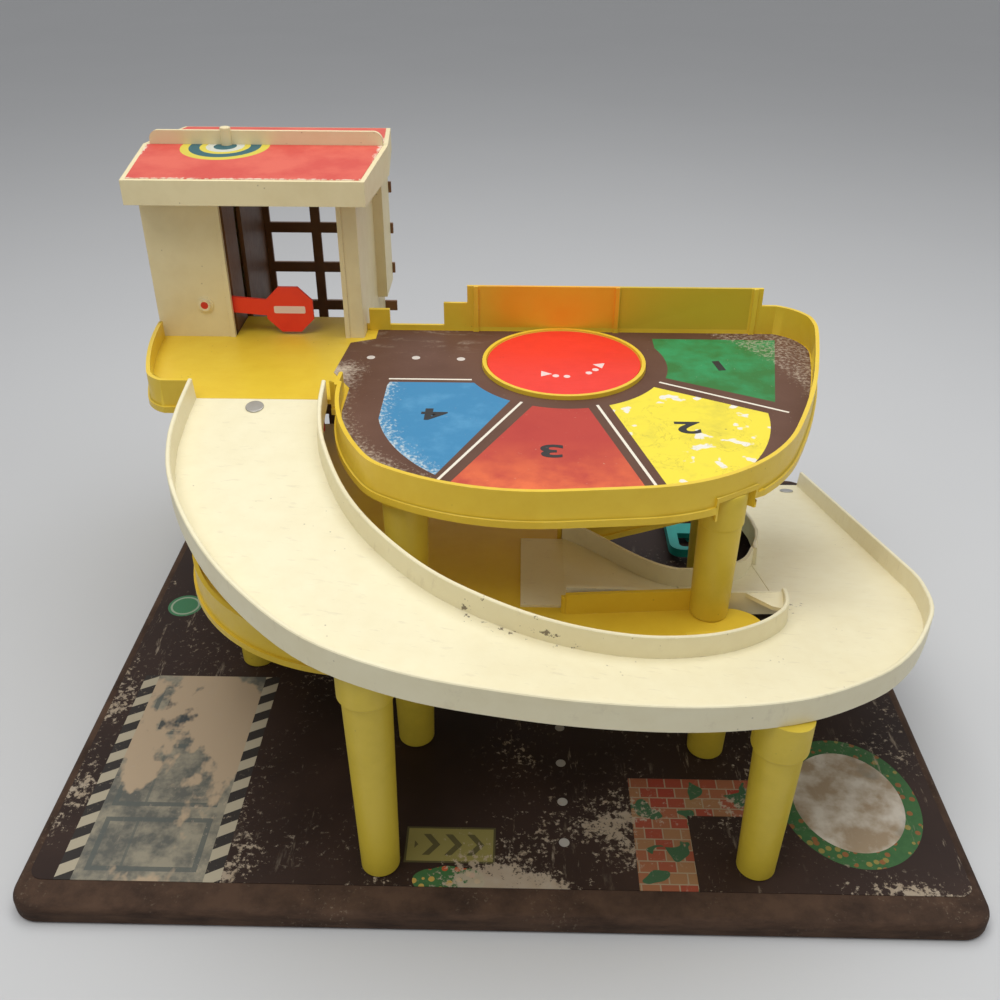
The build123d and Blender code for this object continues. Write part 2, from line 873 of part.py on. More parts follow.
with BuildPart() as turntable:
    disc_low = top_deck_height + moving_gap
    with BuildSketch(Plane.XY.offset(disc_low)):
        with Locations((turntable_x, turntable_y)):
            Circle(turntable_radius)
    extrude(amount=turntable_thickness)
    fillet(turntable.edges().sort_by(Axis.Z)[-1], 0.8)
    spindle_length = moving_gap * 2 + deck_floor_thickness + retainer_thickness + 0.6
    with BuildSketch(Plane.XY.offset(disc_low)):
        with Locations((turntable_x, turntable_y)):
            Circle(spindle_radius)
    extrude(amount=-spindle_length)
finish(turntable, "turntable")

with BuildPart() as turntable_retainer:
    retainer_top = top_deck_height - deck_floor_thickness - moving_gap
    with BuildSketch(Plane.XY.offset(retainer_top)):
        with Locations((turntable_x, turntable_y)):
            Circle(retainer_radius)
            Circle(spindle_radius + press_gap, mode=Mode.SUBTRACT)
    extrude(amount=-retainer_thickness)
finish(turntable_retainer, "turntable_retainer")

# ---------------------------------------------------------------- lift tower
tower_seat = 0.3
trim_width = 3.0
trim_proud = 0.8
inner_wall_thickness = 2.7
slot_front = 131.0
slot_back = 147.0
lattice_front = tower_back - tower_wall
pilaster_width = 7.0
pilaster_front = 172.0

arm_pivot_x = -201.6
arm_pivot_rise = 22.7
arm_pin_radius = 2.0

spool_x = -207.0
spool_height = 150.0
shaft_radius = 3.0
bearing_length = 8.0
bearing_radius = 7.0


def add_box(low, high):
    """Box between two corners, joined to the part in hand."""
    size = [high[i] - low[i] for i in range(3)]
    middle = [(high[i] + low[i]) / 2 for i in range(3)]
    with Locations(tuple(middle)):
        Box(*size)


def storey(low, high, front_high):
    """One storey of the tower shell: front with a doorway, left side, part of the back, right side."""
    door_top = front_high - door_header
    with BuildPart() as shell:
        add_box((tower_left, tower_front, low), (tower_right, tower_front + tower_wall, high))
        add_box((tower_left, tower_front, low), (tower_left + tower_wall, tower_back, high))
        back_end = shaft_left - inner_wall_thickness - 2 * tower_seat
        add_box((tower_left, lattice_front, low), (back_end, tower_back, high))
        right_end = lattice_front - seat_gap
        add_box((tower_right - tower_wall, tower_front, low), (tower_right, right_end, high))
        door_low = (shaft_left, tower_front - 1, low - 1)
        cut_box(door_low, (shaft_right, tower_front + tower_wall + 1, door_top))
        trim_low = tower_front - trim_proud
        add_box((shaft_left - trim_width, trim_low, low), (shaft_left, tower_front, door_top + trim_width))
        add_box((shaft_right, trim_low, low), (shaft_right + trim_width, tower_front, door_top + trim_width))
        add_box((shaft_left, trim_low, door_top), (shaft_right, tower_front, door_top + trim_width))
        if front_high < high:
            edge = tower_front + tower_wall + tower_seat
            cut_box((tower_left - 1, tower_front - 2, front_high), (tower_right + 1, edge, high + 1))
    return shell


def arm_pin_hole(height):
    """Cylinder for the hole of a stop arm's pivot in the front wall."""
    with BuildPart() as hole:
        with BuildSketch(Plane.XZ.offset(-tower_front + 1)):
            with Locations((arm_pivot_x, height + arm_pivot_rise)):
                Circle(arm_pin_radius + running_clearance)
        extrude(amount=-tower_wall - 2)
    return hole.part


second_underside = second_deck_height - deck_floor_thickness
top_underside = top_deck_height - deck_floor_thickness
finish(storey(base_top, second_deck_height, second_underside), "tower_ground_storey")

middle_shell = storey(second_deck_height, top_deck_height, top_underside)
with BuildPart() as middle_storey:
    add(middle_shell.part)
    add(arm_pin_hole(second_deck_height), mode=Mode.SUBTRACT)
    # bearing of the crank's shaft
    with BuildSketch(Plane.XZ.offset(-lattice_front)):
        with Locations((spool_x, spool_height)):
            Circle(bearing_radius)
    extrude(amount=bearing_length)
    with BuildSketch(Plane.XZ.offset(-tower_back - 1)):
        with Locations((spool_x, spool_height)):
            Circle(shaft_radius + running_clearance)
    extrude(amount=bearing_length + tower_wall + 2, mode=Mode.SUBTRACT)
finish(middle_storey, "tower_middle_storey")

top_shell = storey(top_deck_height, roof_base_height, roof_base_height)
with BuildPart() as top_storey:
    add(top_shell.part)
    add(arm_pin_hole(top_deck_height), mode=Mode.SUBTRACT)
    add_box(
        (tower_right, pilaster_front, top_deck_height),
        (tower_right + pilaster_width, lattice_front - seat_gap, roof_base_height),
    )
finish(top_storey, "tower_top_storey")

with BuildPart() as inner_wall:
    wall_x = shaft_left - tower_seat
    wall_top = roof_base_height - 0.5
    add_box((wall_x - inner_wall_thickness, 104, base_top), (wall_x, lattice_front - seat_gap, wall_top))
    cut_box((wall_x - 5, slot_front, 20), (wall_x + 1, slot_back, wall_top - 4.5))
finish(inner_wall, "shaft_inner_wall")

lattice_left = shaft_left - tower_seat - inner_wall_thickness
lattice_right = -88.0
stile_width = 7.0
rail_height = 7.6
rail_pitch = 30.5
with BuildPart() as lattice:
    for stile_x in (lattice_left + stile_width / 2, -146.0, -110.0):
        half = stile_width / 2
        add_box((stile_x - half, lattice_front, base_top), (stile_x + half, tower_back, wall_top))
    for index in range(9):
        rail_z = base_top + rail_height / 2 + 2 + index * rail_pitch
        half = rail_height / 2
        add_box((lattice_left, lattice_front, rail_z - half), (lattice_right, tower_back, rail_z + half))
    add_box((lattice_left, lattice_front, wall_top - rail_height), (lattice_right, tower_back, wall_top))
finish(lattice, "shaft_lattice")

# ---------------------------------------------------------------- roof
eave_front = 73.0
eave_back = 217.0
roof_left = -235.0
roof_right = -87.0
ridge_left = -243.0
ridge_right = -81.0
ridge_y = 148.0
fascia_height = 15.0
ridge_rise = 4.0
roof_wall = 2.5
roof_top = roof_base_height + fascia_height


def roof_plan(inset):
    """Six-sided plan of the roof."""
    with BuildSketch() as plan:
        Polygon(
            (roof_left, eave_front),
            (roof_right, eave_front),
            (ridge_right, ridge_y),
            (roof_right, eave_back),
            (roof_left, eave_back),
            (ridge_left, ridge_y),
            align=None,
        )
        if inset:
            offset(amount=-inset, mode=Mode.REPLACE)
    return plan.sketch


def roof_body(inset, low, sink):
    """Body under the two slopes of the roof, with its slopes moved down by one amount."""
    with BuildPart() as body:
        with BuildSketch(Plane.YZ.offset(ridge_left - 5)):
            Polygon(
                (eave_front, low),
                (eave_back, low),
                (eave_back, roof_top - sink),
                (ridge_y, roof_top + ridge_rise - sink),
                (eave_front, roof_top - sink),
                align=None,
            )
        extrude(amount=ridge_right - ridge_left + 10)
        with BuildSketch(Plane.XY.offset(low)):
            add(roof_plan(inset))
        extrude(amount=60, mode=Mode.INTERSECT)
    return body.part


fin_thickness = 3.0
fin_height = 9.0
fin_left = -238.0
fin_right = -84.0
mast_x = -187.0
mast_radius = 3.5
mast_height = 11.5

with BuildPart() as roof:
    add(roof_body(0, roof_base_height, 0))
    add(roof_body(roof_wall, roof_base_height - 1, roof_wall), mode=Mode.SUBTRACT)
    # ribs that stand on the tower walls
    with BuildSketch(Plane.XY.offset(roof_base_height)):
        rib_left = tower_left + 1
        middle_x = (rib_left + tower_right) / 2
        middle_y = (tower_front + lattice_front) / 2
        with Locations((middle_x, middle_y)):
            Rectangle(tower_right - rib_left, lattice_front - tower_front)
            Rectangle(
                tower_right - rib_left - 2 * tower_wall,
                lattice_front - tower_front - 2 * tower_wall,
                mode=Mode.SUBTRACT,
            )
    extrude(amount=fascia_height - roof_wall / 2)
finish(roof, "roof")

with BuildPart() as roof_fin:
    fin_low = roof_top + ridge_rise
    with BuildSketch(Plane.XZ.offset(-ridge_y - fin_thickness / 2)):
        with BuildLine():
            Polyline((fin_left, fin_low), (fin_right, fin_low), (fin_right, fin_low + 3))
            fin_arc = TangentArc(
                (fin_right, fin_low + 3), (fin_right - 6, fin_low + fin_height), tangent=(0, 1)
            )
            Line(fin_arc @ 1, (fin_left + 6, fin_low + fin_height))
            left_arc = TangentArc((fin_left, fin_low + 3), (fin_left + 6, fin_low + fin_height), tangent=(0, 1))
            Line(left_arc @ 0, (fin_left, fin_low))
        make_face()
    extrude(amount=fin_thickness)
    # short mast in front of the fin, with its foot on the ridge
    with BuildSketch(Plane.XY.offset(fin_low)):
        with Locations((mast_x, ridge_y - fin_thickness / 2)):
            Circle(mast_radius)
    extrude(amount=mast_height)
    fillet(roof_fin.edges().filter_by(GeomType.CIRCLE).sort_by(Axis.Z)[-1], 1.0)
finish(roof_fin, "roof_fin")

panel_inset = 3.0
panel_thickness = 0.4


def roof_panel(front, back):
    """Thin printed panel on one slope of the roof."""
    with BuildPart() as panel:
        add(roof_body(panel_inset, roof_base_height, -panel_thickness))
        add(roof_body(0, roof_base_height - 1, 0), mode=Mode.SUBTRACT)
        with BuildSketch(Plane.XY.offset(roof_base_height)):
            with Locations((ridge_left / 2 + ridge_right / 2, (front + back) / 2)):
                Rectangle(400, back - front)
        extrude(amount=60, mode=Mode.INTERSECT)
        with BuildSketch(Plane.XY.offset(roof_base_height)):
            with Locations((mast_x, ridge_y - fin_thickness / 2)):
                Circle(mast_radius + seat_gap)
        extrude(amount=60, mode=Mode.SUBTRACT)
    return panel


finish(roof_panel(eave_front, ridge_y - fin_thickness / 2 - seat_gap), "roof_front_panel")
finish(roof_panel(ridge_y + fin_thickness / 2 + seat_gap, eave_back), "roof_rear_panel")

# ---------------------------------------------------------------- stop arms
arm_front = tower_front + tower_wall + 1.5
arm_thickness = 2.0
arm_width = 11.0
sign_x = -146.5
sign_drop = 4.7
sign_radius = 17.0
washer_radius = 5.5
washer_thickness = 0.8
arm_head_radius = 4.0
arm_head_thickness = 1.2


def stop_arm(deck_height):
    """Arm with an eight-sided sign, hung on a pin behind the front wall."""
    pivot_z = deck_height + arm_pivot_rise
    with BuildPart() as arm:
        with BuildSketch(Plane.XZ.offset(-arm_front)):
            with Locations((arm_pivot_x, pivot_z)):
                Circle(arm_width / 2)
            Polygon(
                (arm_pivot_x, pivot_z - arm_width / 2),
                (sign_x, pivot_z - sign_drop - arm_width / 2),
                (sign_x, pivot_z - sign_drop + arm_width / 2),
                (arm_pivot_x, pivot_z + arm_width / 2),
                align=None,
            )
            with Locations((sign_x, pivot_z - sign_drop)):
                RegularPolygon(sign_radius, 8, rotation=22.5)
            with Locations((arm_pivot_x, pivot_z)):
                Circle(arm_pin_radius + running_clearance, mode=Mode.SUBTRACT)
        extrude(amount=-arm_thickness)
    return arm


finish(stop_arm(top_deck_height), "stop_arm_top")
finish(stop_arm(second_deck_height), "stop_arm_second")

arm_pivots = [
    (arm_pivot_x, top_deck_height + arm_pivot_rise),
    (arm_pivot_x, second_deck_height + arm_pivot_rise),
]
with BuildPart() as arm_washers:
    with BuildSketch(Plane.XZ.offset(-tower_front)):
        with Locations(*arm_pivots):
            Circle(washer_radius)
            Circle(arm_pin_radius + running_clearance, mode=Mode.SUBTRACT)
    extrude(amount=washer_thickness)
finish(arm_washers, "stop_arm_washers")

with BuildPart() as arm_rivets:
    head_back = tower_front - washer_thickness
    pin_back = arm_front + arm_thickness + moving_gap
    with BuildSketch(Plane.XZ.offset(-head_back)):
        with Locations(*arm_pivots):
            Circle(arm_head_radius)
    extrude(amount=arm_head_thickness)
    with BuildSketch(Plane.XZ.offset(-head_back)):
        with Locations(*arm_pivots):
            Circle(arm_pin_radius)
    extrude(amount=head_back - pin_back)
    with BuildSketch(Plane.XZ.offset(-pin_back)):
        with Locations(*arm_pivots):
            Circle(arm_head_radius - 0.6)
    extrude(amount=-arm_head_thickness)
finish(arm_rivets, "stop_arm_rivets")

# ---------------------------------------------------------------- lift
rod_x = -214.0
rod_places = [(rod_x, 122.0), (rod_x, 160.0)]
rod_radius = 2.0
rod_top = 284.0
block_left = -224.0
block_right = -192.0
block_front = 115.0
block_back = 165.0
block_low = 16.0
block_high = 38.0
stub_radius = 4.0
pivot_y = 139.0
pivot_z = 27.0
spool_radius = 7.0
cord_radius = 0.6
cord_gap = 0.1
cord_x = spool_x + spool_radius + cord_radius + cord_gap
pulley_y = 155.0
pulley_z = 262.0
pulley_cord_radius = pulley_y - pivot_y
cord_down_y = pulley_y + pulley_cord_radius
platform_left = -180.0
platform_right = -112.0
platform_front = 134.0
platform_back = 203.0
platform_low = 15.0
platform_floor = 2.5
platform_wall = 5.0
platform_right_wall = 2.5

for index, rod_place in enumerate(rod_places):
    with BuildPart() as guide_rod:
        with BuildSketch(Plane.XY.offset(base_top)):
            with Locations(rod_place):
                Circle(rod_radius)
        extrude(amount=rod_top - base_top)
    finish(guide_rod, ("guide_rod_front", "guide_rod_rear")[index])

bracket_left = platform_left - 3.6
bracket_right = platform_left - 0.6
ledge_low = base_top + 0.8
with BuildPart() as carriage:
    add_box((block_left, block_front, block_low), (block_right, block_back, block_high))
    fillet(carriage.edges().filter_by(Axis.Z), 3.0)
    with BuildSketch(Plane.XY.offset(block_low)):
        with Locations(*rod_places):
            Circle(rod_radius + running_clearance)
    extrude(amount=block_high - block_low, mode=Mode.SUBTRACT)
    with BuildSketch(Plane.YZ.offset(block_right - 1)):
        with Locations((pivot_y, pivot_z)):
            Circle(stub_radius)
    extrude(amount=platform_left + platform_wall - block_right + 1.6)
    # bracket beside the platform, with the ledge on which its back rests
    add_box((bracket_left, pivot_y - 5, ledge_low), (bracket_right, 200, pivot_z + 5))
    add_box((bracket_left, 190, ledge_low), (platform_left + 12, 200, platform_low - moving_gap))
    # eye for the end of the cord
    with BuildSketch(Plane.XY.offset(block_high)):
        with Locations((cord_x, pivot_y)):
            Circle(2.2)
    extrude(amount=3)
finish(carriage, "lift_carriage")

with BuildPart() as platform:
    floor_top = platform_low + platform_floor
    add_box(
        (platform_left, platform_front, platform_low),
        (platform_right, platform_back, floor_top),
    )
    add_box(
        (platform_left, platform_front, platform_low),
        (platform_left + platform_wall, platform_back, platform_low + 23),
    )
    add_box(
        (platform_right - platform_right_wall, platform_front, platform_low),
        (platform_right, platform_back, platform_low + 13),
    )
    add_box(
        (platform_left, platform_back - 2.5, platform_low),
        (platform_right, platform_back, floor_top + 3),
    )
    fillet(platform.edges().filter_by(Axis.Z), 1.0)
    with BuildSketch(Plane.YZ.offset(platform_left - 1)):
        with Locations((pivot_y, pivot_z)):
            Circle(stub_radius + running_clearance)
    extrude(amount=platform_wall + 2, mode=Mode.SUBTRACT)
finish(platform, "lift_platform")

head_low = rod_top
head_thickness = 2.7
ear_thickness = 3.0
ear_gap = 1.0
pulley_half = 3.0
axle_radius = 2.0
with BuildPart() as head_plate:
    add_box(
        (tower_left + tower_wall + tower_seat, block_front, head_low),
        (wall_x - inner_wall_thickness - tower_seat, cord_down_y + 12, head_low + head_thickness),
    )
    ear_inner = pulley_half + ear_gap
    for side in (-1, 1):
        near = cord_x + side * ear_inner
        far = cord_x + side * (ear_inner + ear_thickness)
        ends = sorted((near, far))
        add_box((ends[0], pulley_y - 5, pulley_z - 5), (ends[1], pulley_y + 5, head_low))
    with BuildSketch(Plane.YZ.offset(cord_x - 12)):
        with Locations((pulley_y, pulley_z)):
            Circle(axle_radius + press_gap)
    extrude(amount=24, mode=Mode.SUBTRACT)
finish(head_plate, "lift_head_bracket")

with BuildPart() as pulley_axle:
    reach = ear_inner + ear_thickness + 1
    with BuildSketch(Plane.YZ.offset(cord_x - reach)):
        with Locations((pulley_y, pulley_z)):
            Circle(axle_radius)
    extrude(amount=2 * reach)
finish(pulley_axle, "pulley_axle")

groove_radius = pulley_cord_radius - cord_radius - cord_gap
rim_radius = pulley_cord_radius + 2.0
with BuildPart() as pulley:
    with BuildSketch(Plane.XY):
        Polygon(
            (-pulley_half, axle_radius + running_clearance),
            (pulley_half, axle_radius + running_clearance),
            (pulley_half, rim_radius),
            (cord_radius + cord_gap, groove_radius),
            (-cord_radius - cord_gap, groove_radius),
            (-pulley_half, rim_radius),
            align=None,
        )
    revolve(axis=Axis.X)
finish_shift = Location((cord_x, pulley_y, pulley_z))
pulley.part.locate(finish_shift)
finish(pulley, "pulley")

crank_back = tower_back + 2.0
arm_plate = 4.0
crank_length = 24.0
spool_front = cord_down_y - 5.0
spool_back = cord_down_y + 5.0
flange_radius = 11.0
flange_thickness = 1.5
with BuildPart() as spool:
    with BuildSketch(Plane.XZ.offset(-spool_front)):
        with Locations((spool_x, spool_height)):
            Circle(spool_radius)
    extrude(amount=spool_front - spool_back)
    for start in (spool_front, spool_back - flange_thickness):
        with BuildSketch(Plane.XZ.offset(-start)):
            with Locations((spool_x, spool_height)):
                Circle(flange_radius)
        extrude(amount=-flange_thickness)
    with BuildSketch(Plane.XZ.offset(-spool_back)):
        with Locations((spool_x, spool_height)):
            Circle(shaft_radius)
    extrude(amount=spool_back - crank_back - arm_plate - 1)
finish(spool, "crank_spool")

knob_radius = 4.5
knob_length = 13.0
knob_pin_radius = 2.0
with BuildPart() as crank_arm:
    with BuildSketch(Plane.XZ.offset(-crank_back)):
        with Locations((spool_x, spool_height - crank_length / 2)):
            SlotCenterToCenter(crank_length, 11, rotation=90)
        with Locations((spool_x, spool_height)):
            Circle(shaft_radius + press_gap, mode=Mode.SUBTRACT)
        with Locations((spool_x, spool_height - crank_length)):
            Circle(knob_pin_radius + press_gap, mode=Mode.SUBTRACT)
    extrude(amount=-arm_plate)
finish(crank_arm, "crank_arm")

with BuildPart() as crank_knob:
    knob_front = crank_back + arm_plate + 0.2
    with BuildSketch(Plane.XZ.offset(-knob_front)):
        with Locations((spool_x, spool_height - crank_length)):
            Circle(knob_radius)
    extrude(amount=-knob_length)
    fillet(crank_knob.edges().sort_by(Axis.Y)[-1], 1.5)
    with BuildSketch(Plane.XZ.offset(-knob_front)):
        with Locations((spool_x, spool_height - crank_length)):
            Circle(knob_pin_radius)
    extrude(amount=arm_plate)
finish(crank_knob, "crank_knob")

# cord: round the spool, straight up, over the pulley; its free run hangs down to the carriage
wrap_radius = spool_radius + cord_radius + cord_gap
with BuildPart() as cord:
    with BuildLine() as cord_path:
        wrap = ThreePointArc(
            (spool_x, cord_down_y, spool_height + wrap_radius),
            (spool_x - wrap_radius, cord_down_y, spool_height),
            (spool_x, cord_down_y, spool_height - wrap_radius),
        )
        rest = ThreePointArc(
            wrap @ 1,
            (
                spool_x + wrap_radius * cos(pi / 4),
                cord_down_y,
                spool_height - wrap_radius * sin(pi / 4),
            ),
            (cord_x, cord_down_y, spool_height),
        )
        rise = Line(rest @ 1, (cord_x, cord_down_y, pulley_z))
        ThreePointArc(
            rise @ 1,
            (cord_x, pulley_y, pulley_z + pulley_cord_radius),
            (cord_x, pivot_y, pulley_z),
        )
    with BuildSketch(Plane(origin=wrap @ 0, z_dir=wrap % 0)):
        Circle(cord_radius)
    sweep(path=cord_path.wire())
cord_length = cord_path.wire().length
print("cord", round(cord.part.volume, 2), round(cord_length * pi * cord_radius**2, 2))
finish(cord, "lift_cord")

with BuildPart() as cord_run:
    with BuildSketch(Plane.XY.offset(block_high + 3)):
        with Locations((cord_x, pivot_y)):
            Circle(cord_radius)
    extrude(amount=pulley_z - block_high - 3)
finish(cord_run, "lift_cord_run")

# ---------------------------------------------------------------- hoist
hoist_width = 46.0
hoist_length = 66.0
hoist_bar = 8.0
hoist_low = 17.0
hoist_plate = 4.5
hoist_lip = 2.5
with BuildPart() as hoist_ram:
    with BuildSketch(Plane.XY.offset(board_thickness - hoist_ram_depth)):
        with Locations((hoist_x, hoist_y)):
            Circle(hoist_ram_radius)
    extrude(amount=hoist_low - board_thickness + hoist_ram_depth)
finish(hoist_ram, "hoist_ram")

with BuildPart() as hoist_frame:
    with BuildSketch(Plane.XY.offset(hoist_low)):
        with Locations((hoist_x, hoist_y)):
            RectangleRounded(hoist_width, hoist_length, 9)
            RectangleRounded(
                hoist_width - 2 * hoist_bar, hoist_length - 2 * hoist_bar, 4, mode=Mode.SUBTRACT
            )
            Rectangle(hoist_width - hoist_bar, hoist_bar + 6)
    extrude(amount=hoist_plate)
    with BuildSketch(Plane.XY.offset(hoist_low + hoist_plate)):
        with Locations((hoist_x, hoist_y)):
            RectangleRounded(hoist_width, hoist_length, 9)
            RectangleRounded(hoist_width - 4, hoist_length - 4, 7, mode=Mode.SUBTRACT)
    extrude(amount=hoist_lip)
finish(hoist_frame, "hoist_frame")
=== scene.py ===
import bmesh
import bpy
from math import cos, hypot, pi, radians, sin
from mathutils import Matrix, Vector


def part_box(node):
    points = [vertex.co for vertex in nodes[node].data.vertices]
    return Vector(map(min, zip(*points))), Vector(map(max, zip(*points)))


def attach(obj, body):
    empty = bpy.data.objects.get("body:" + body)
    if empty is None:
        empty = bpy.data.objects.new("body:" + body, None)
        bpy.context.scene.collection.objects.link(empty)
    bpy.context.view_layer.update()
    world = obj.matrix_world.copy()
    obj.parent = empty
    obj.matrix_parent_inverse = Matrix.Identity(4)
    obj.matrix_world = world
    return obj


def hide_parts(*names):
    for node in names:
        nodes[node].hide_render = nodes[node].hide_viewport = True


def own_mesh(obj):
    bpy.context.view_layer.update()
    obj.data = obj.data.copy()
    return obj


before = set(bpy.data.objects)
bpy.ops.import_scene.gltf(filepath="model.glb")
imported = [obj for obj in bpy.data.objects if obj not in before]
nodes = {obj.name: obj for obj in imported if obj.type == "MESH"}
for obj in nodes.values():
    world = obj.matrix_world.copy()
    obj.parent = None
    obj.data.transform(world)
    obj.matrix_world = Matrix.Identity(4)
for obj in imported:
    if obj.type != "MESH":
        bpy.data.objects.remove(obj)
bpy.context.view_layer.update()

scene = bpy.context.scene
mm = 0.001
print("frame loaded", len(nodes), "nodes")

# camera and light
view = {
    "place": (0.00679, -0.55263, 0.47044),
    "yaw": -0.018486,
    "down": 0.559534,
    "roll": -0.0036075,
    "lens": 37.28,
}
lights = {
    "sky": 0.36,
    "skyColor": (0.96, 0.97, 1.0),
    "key": {"at": (-0.35, -0.45, 1.35), "size": 0.8, "power": 7.0, "color": (1.0, 0.99, 0.965)},
    "fill": {"at": (0.80, -0.10, 1.05), "size": 0.8, "power": 2.6, "color": (0.98, 0.99, 1.0)},
    "top": {"at": (0.05, 0.30, 1.45), "size": 1.0, "power": 8.6, "color": (1.0, 1.0, 1.0)},
}


def aim(obj, target):
    away = obj.location - Vector(target)
    obj.rotation_euler = away.to_track_quat("Z", "Y").to_euler()


def addCamera():
    data = bpy.data.cameras.new("camera")
    data.lens = view["lens"]
    data.sensor_width = 36.0
    data.clip_start = 0.01
    cam = bpy.data.objects.new("camera", data)
    scene.collection.objects.link(cam)
    level = cos(view["down"])
    ahead = Vector((sin(view["yaw"]) * level, cos(view["yaw"]) * level, -sin(view["down"])))
    right = ahead.cross(Vector((0, 0, 1))).normalized()
    up = right.cross(ahead)
    spin = Matrix.Rotation(view["roll"], 3, ahead)
    right, up = spin @ right, spin @ up
    turn = Matrix((right, up, -ahead)).transposed()
    cam.matrix_world = Matrix.Translation(view["place"]) @ turn.to_4x4()
    scene.camera = cam


def addLight(name):
    look = lights[name]
    data = bpy.data.lights.new(name, "AREA")
    data.shape = "SQUARE"
    data.size = look["size"]
    data.energy = look["power"]
    data.color = look["color"]
    lamp = bpy.data.objects.new(name, data)
    lamp.location = look["at"]
    scene.collection.objects.link(lamp)
    aim(lamp, (0, 0, 0.1))


addCamera()
for lampName in ("key", "fill", "top"):
    addLight(lampName)
scene.view_settings.view_transform = "Standard"
print("camera and lights set")


# shader maths as plain expressions
def feed(tree, socket, value):
    if isinstance(value, Wire):
        tree.links.new(value.socket, socket)
    elif isinstance(value, (tuple, list)) and len(value) == 3 and socket.type == "RGBA":
        socket.default_value = (*value, 1.0)
    else:
        socket.default_value = value


class Wire:
    def __init__(self, tree, socket):
        self.tree = tree
        self.socket = socket

    def calc(self, operation, *values, clamp=False):
        node = self.tree.nodes.new("ShaderNodeMath")
        node.operation = operation
        node.use_clamp = clamp
        for socket, value in zip(node.inputs, values):
            feed(self.tree, socket, value)
        return Wire(self.tree, node.outputs[0])

    def __add__(self, other):
        return self.calc("ADD", self, other)

    def __radd__(self, other):
        return self.calc("ADD", other, self)

    def __sub__(self, other):
        return self.calc("SUBTRACT", self, other)

    def __rsub__(self, other):
        return self.calc("SUBTRACT", other, self)

    def __mul__(self, other):
        return self.calc("MULTIPLY", self, other)

    def __truediv__(self, other):
        return self.calc("DIVIDE", self, other)

    def __pow__(self, other):
        return self.calc("POWER", self, other)

    def __gt__(self, other):
        return self.calc("GREATER_THAN", self, other)

    def __lt__(self, other):
        return self.calc("LESS_THAN", self, other)

    def __mod__(self, other):
        return self.calc("FLOORED_MODULO", self, other)

    def least(self, other):
        return self.calc("MINIMUM", self, other)

    def most(self, other):
        return self.calc("MAXIMUM", self, other)

    def size(self):
        return self.calc("ABSOLUTE", self)

    def root(self):
        return self.calc("SQRT", self)

    def between(self, low, high):
        return (self > low) * (self < high)

    def rise(self, low, high):
        return self.calc("MULTIPLY", self - low, 1.0 / (high - low), clamp=True)


class Paint:
    def __init__(self, name):
        self.material = bpy.data.materials.new(name)
        self.material.use_nodes = True
        self.tree = self.material.node_tree
        self.shader = self.tree.nodes["Principled BSDF"]
        self.spot = self.node("ShaderNodeTexCoord", {}, {}, "Object")
        parts = self.raw("ShaderNodeSeparateXYZ", {}, {0: self.spot})
        self.x, self.y, self.z = (Wire(self.tree, parts.outputs[i]) for i in range(3))

    def raw(self, kind, settings, values):
        node = self.tree.nodes.new(kind)
        for key, value in settings.items():
            setattr(node, key, value)
        for key, value in values.items():
            feed(self.tree, node.inputs[key], value)
        return node

    def node(self, kind, settings, values, out=0):
        return Wire(self.tree, self.raw(kind, settings, values).outputs[out])

    def mix(self, low, high, share, how="MIX"):
        settings = {"data_type": "RGBA", "blend_type": how, "clamp_factor": True}
        return self.node("ShaderNodeMix", settings, {0: share, 6: low, 7: high}, 2)

    def noise(self, scale, detail=4.0, rough=0.55, at=None, warp=0.0):
        values = {"Vector": at or self.spot, "Scale": scale, "Detail": detail}
        values |= {"Roughness": rough, "Distortion": warp}
        return self.node("ShaderNodeTexNoise", {}, values)

    def stretched(self, scale, shift=(0, 0, 0), turn=(0, 0, 0)):
        values = {"Vector": self.spot, "Location": shift, "Rotation": turn, "Scale": scale}
        return self.node("ShaderNodeMapping", {}, values)

    def specks(self, scale, low, high):
        values = {"Vector": self.spot, "Scale": scale}
        cells = self.node("ShaderNodeTexVoronoi", {"feature": "F1"}, values, "Distance")
        return 1 - cells.rise(low, high)

    def edges(self, radius, low=0.02, high=0.25):
        bent = self.node("ShaderNodeBevel", {"samples": 4}, {"Radius": radius})
        flat = self.node("ShaderNodeNewGeometry", {}, {}, "Normal")
        same = self.node("ShaderNodeVectorMath", {"operation": "DOT_PRODUCT"}, {0: bent, 1: flat}, "Value")
        return (1 - same).rise(low, high)

    # masks: their points and sizes are in millimetres
    def box(self, low, high, inset=0.0):
        across = self.x.between((low[0] + inset) * mm, (high[0] - inset) * mm)
        return across * self.y.between((low[1] + inset) * mm, (high[1] - inset) * mm)

    def border(self, low, high, width):
        return self.box(low, high) - self.box(low, high, width)

    def ring(self, center, inner, outer, squash=1.0):
        away = self.far(center, squash)
        return away.between(inner * mm, outer * mm)

    def disc(self, center, radius, squash=1.0):
        return self.far(center, squash) < radius * mm

    def far(self, center, squash=1.0):
        dx = self.x - center[0] * mm
        dy = (self.y - center[1] * mm) / squash
        return (dx * dx + dy * dy).root()

    # how far to the left of the line that runs from one point to another
    def side(self, start, end):
        dx, dy = end[0] - start[0], end[1] - start[1]
        long = hypot(dx, dy)
        return (self.y - start[1] * mm) * (dx / long) - (self.x - start[0] * mm) * (dy / long)

    def left(self, start, end):
        return self.side(start, end) > 0.0

    def stripe(self, start, end, width):
        dx, dy = end[0] - start[0], end[1] - start[1]
        long = hypot(dx, dy)
        along = (self.x - start[0] * mm) * (dx / long) + (self.y - start[1] * mm) * (dy / long)
        return (self.side(start, end).size() < width * mm / 2) * along.between(0.0, long * mm)

    def set(self, name, value):
        feed(self.tree, self.shader.inputs[name], value)

    def bump(self, height, strength, distance, base=None):
        values = {"Strength": strength, "Distance": distance, "Height": height}
        if base:
            values["Normal"] = base
        return self.node("ShaderNodeBump", {}, values)


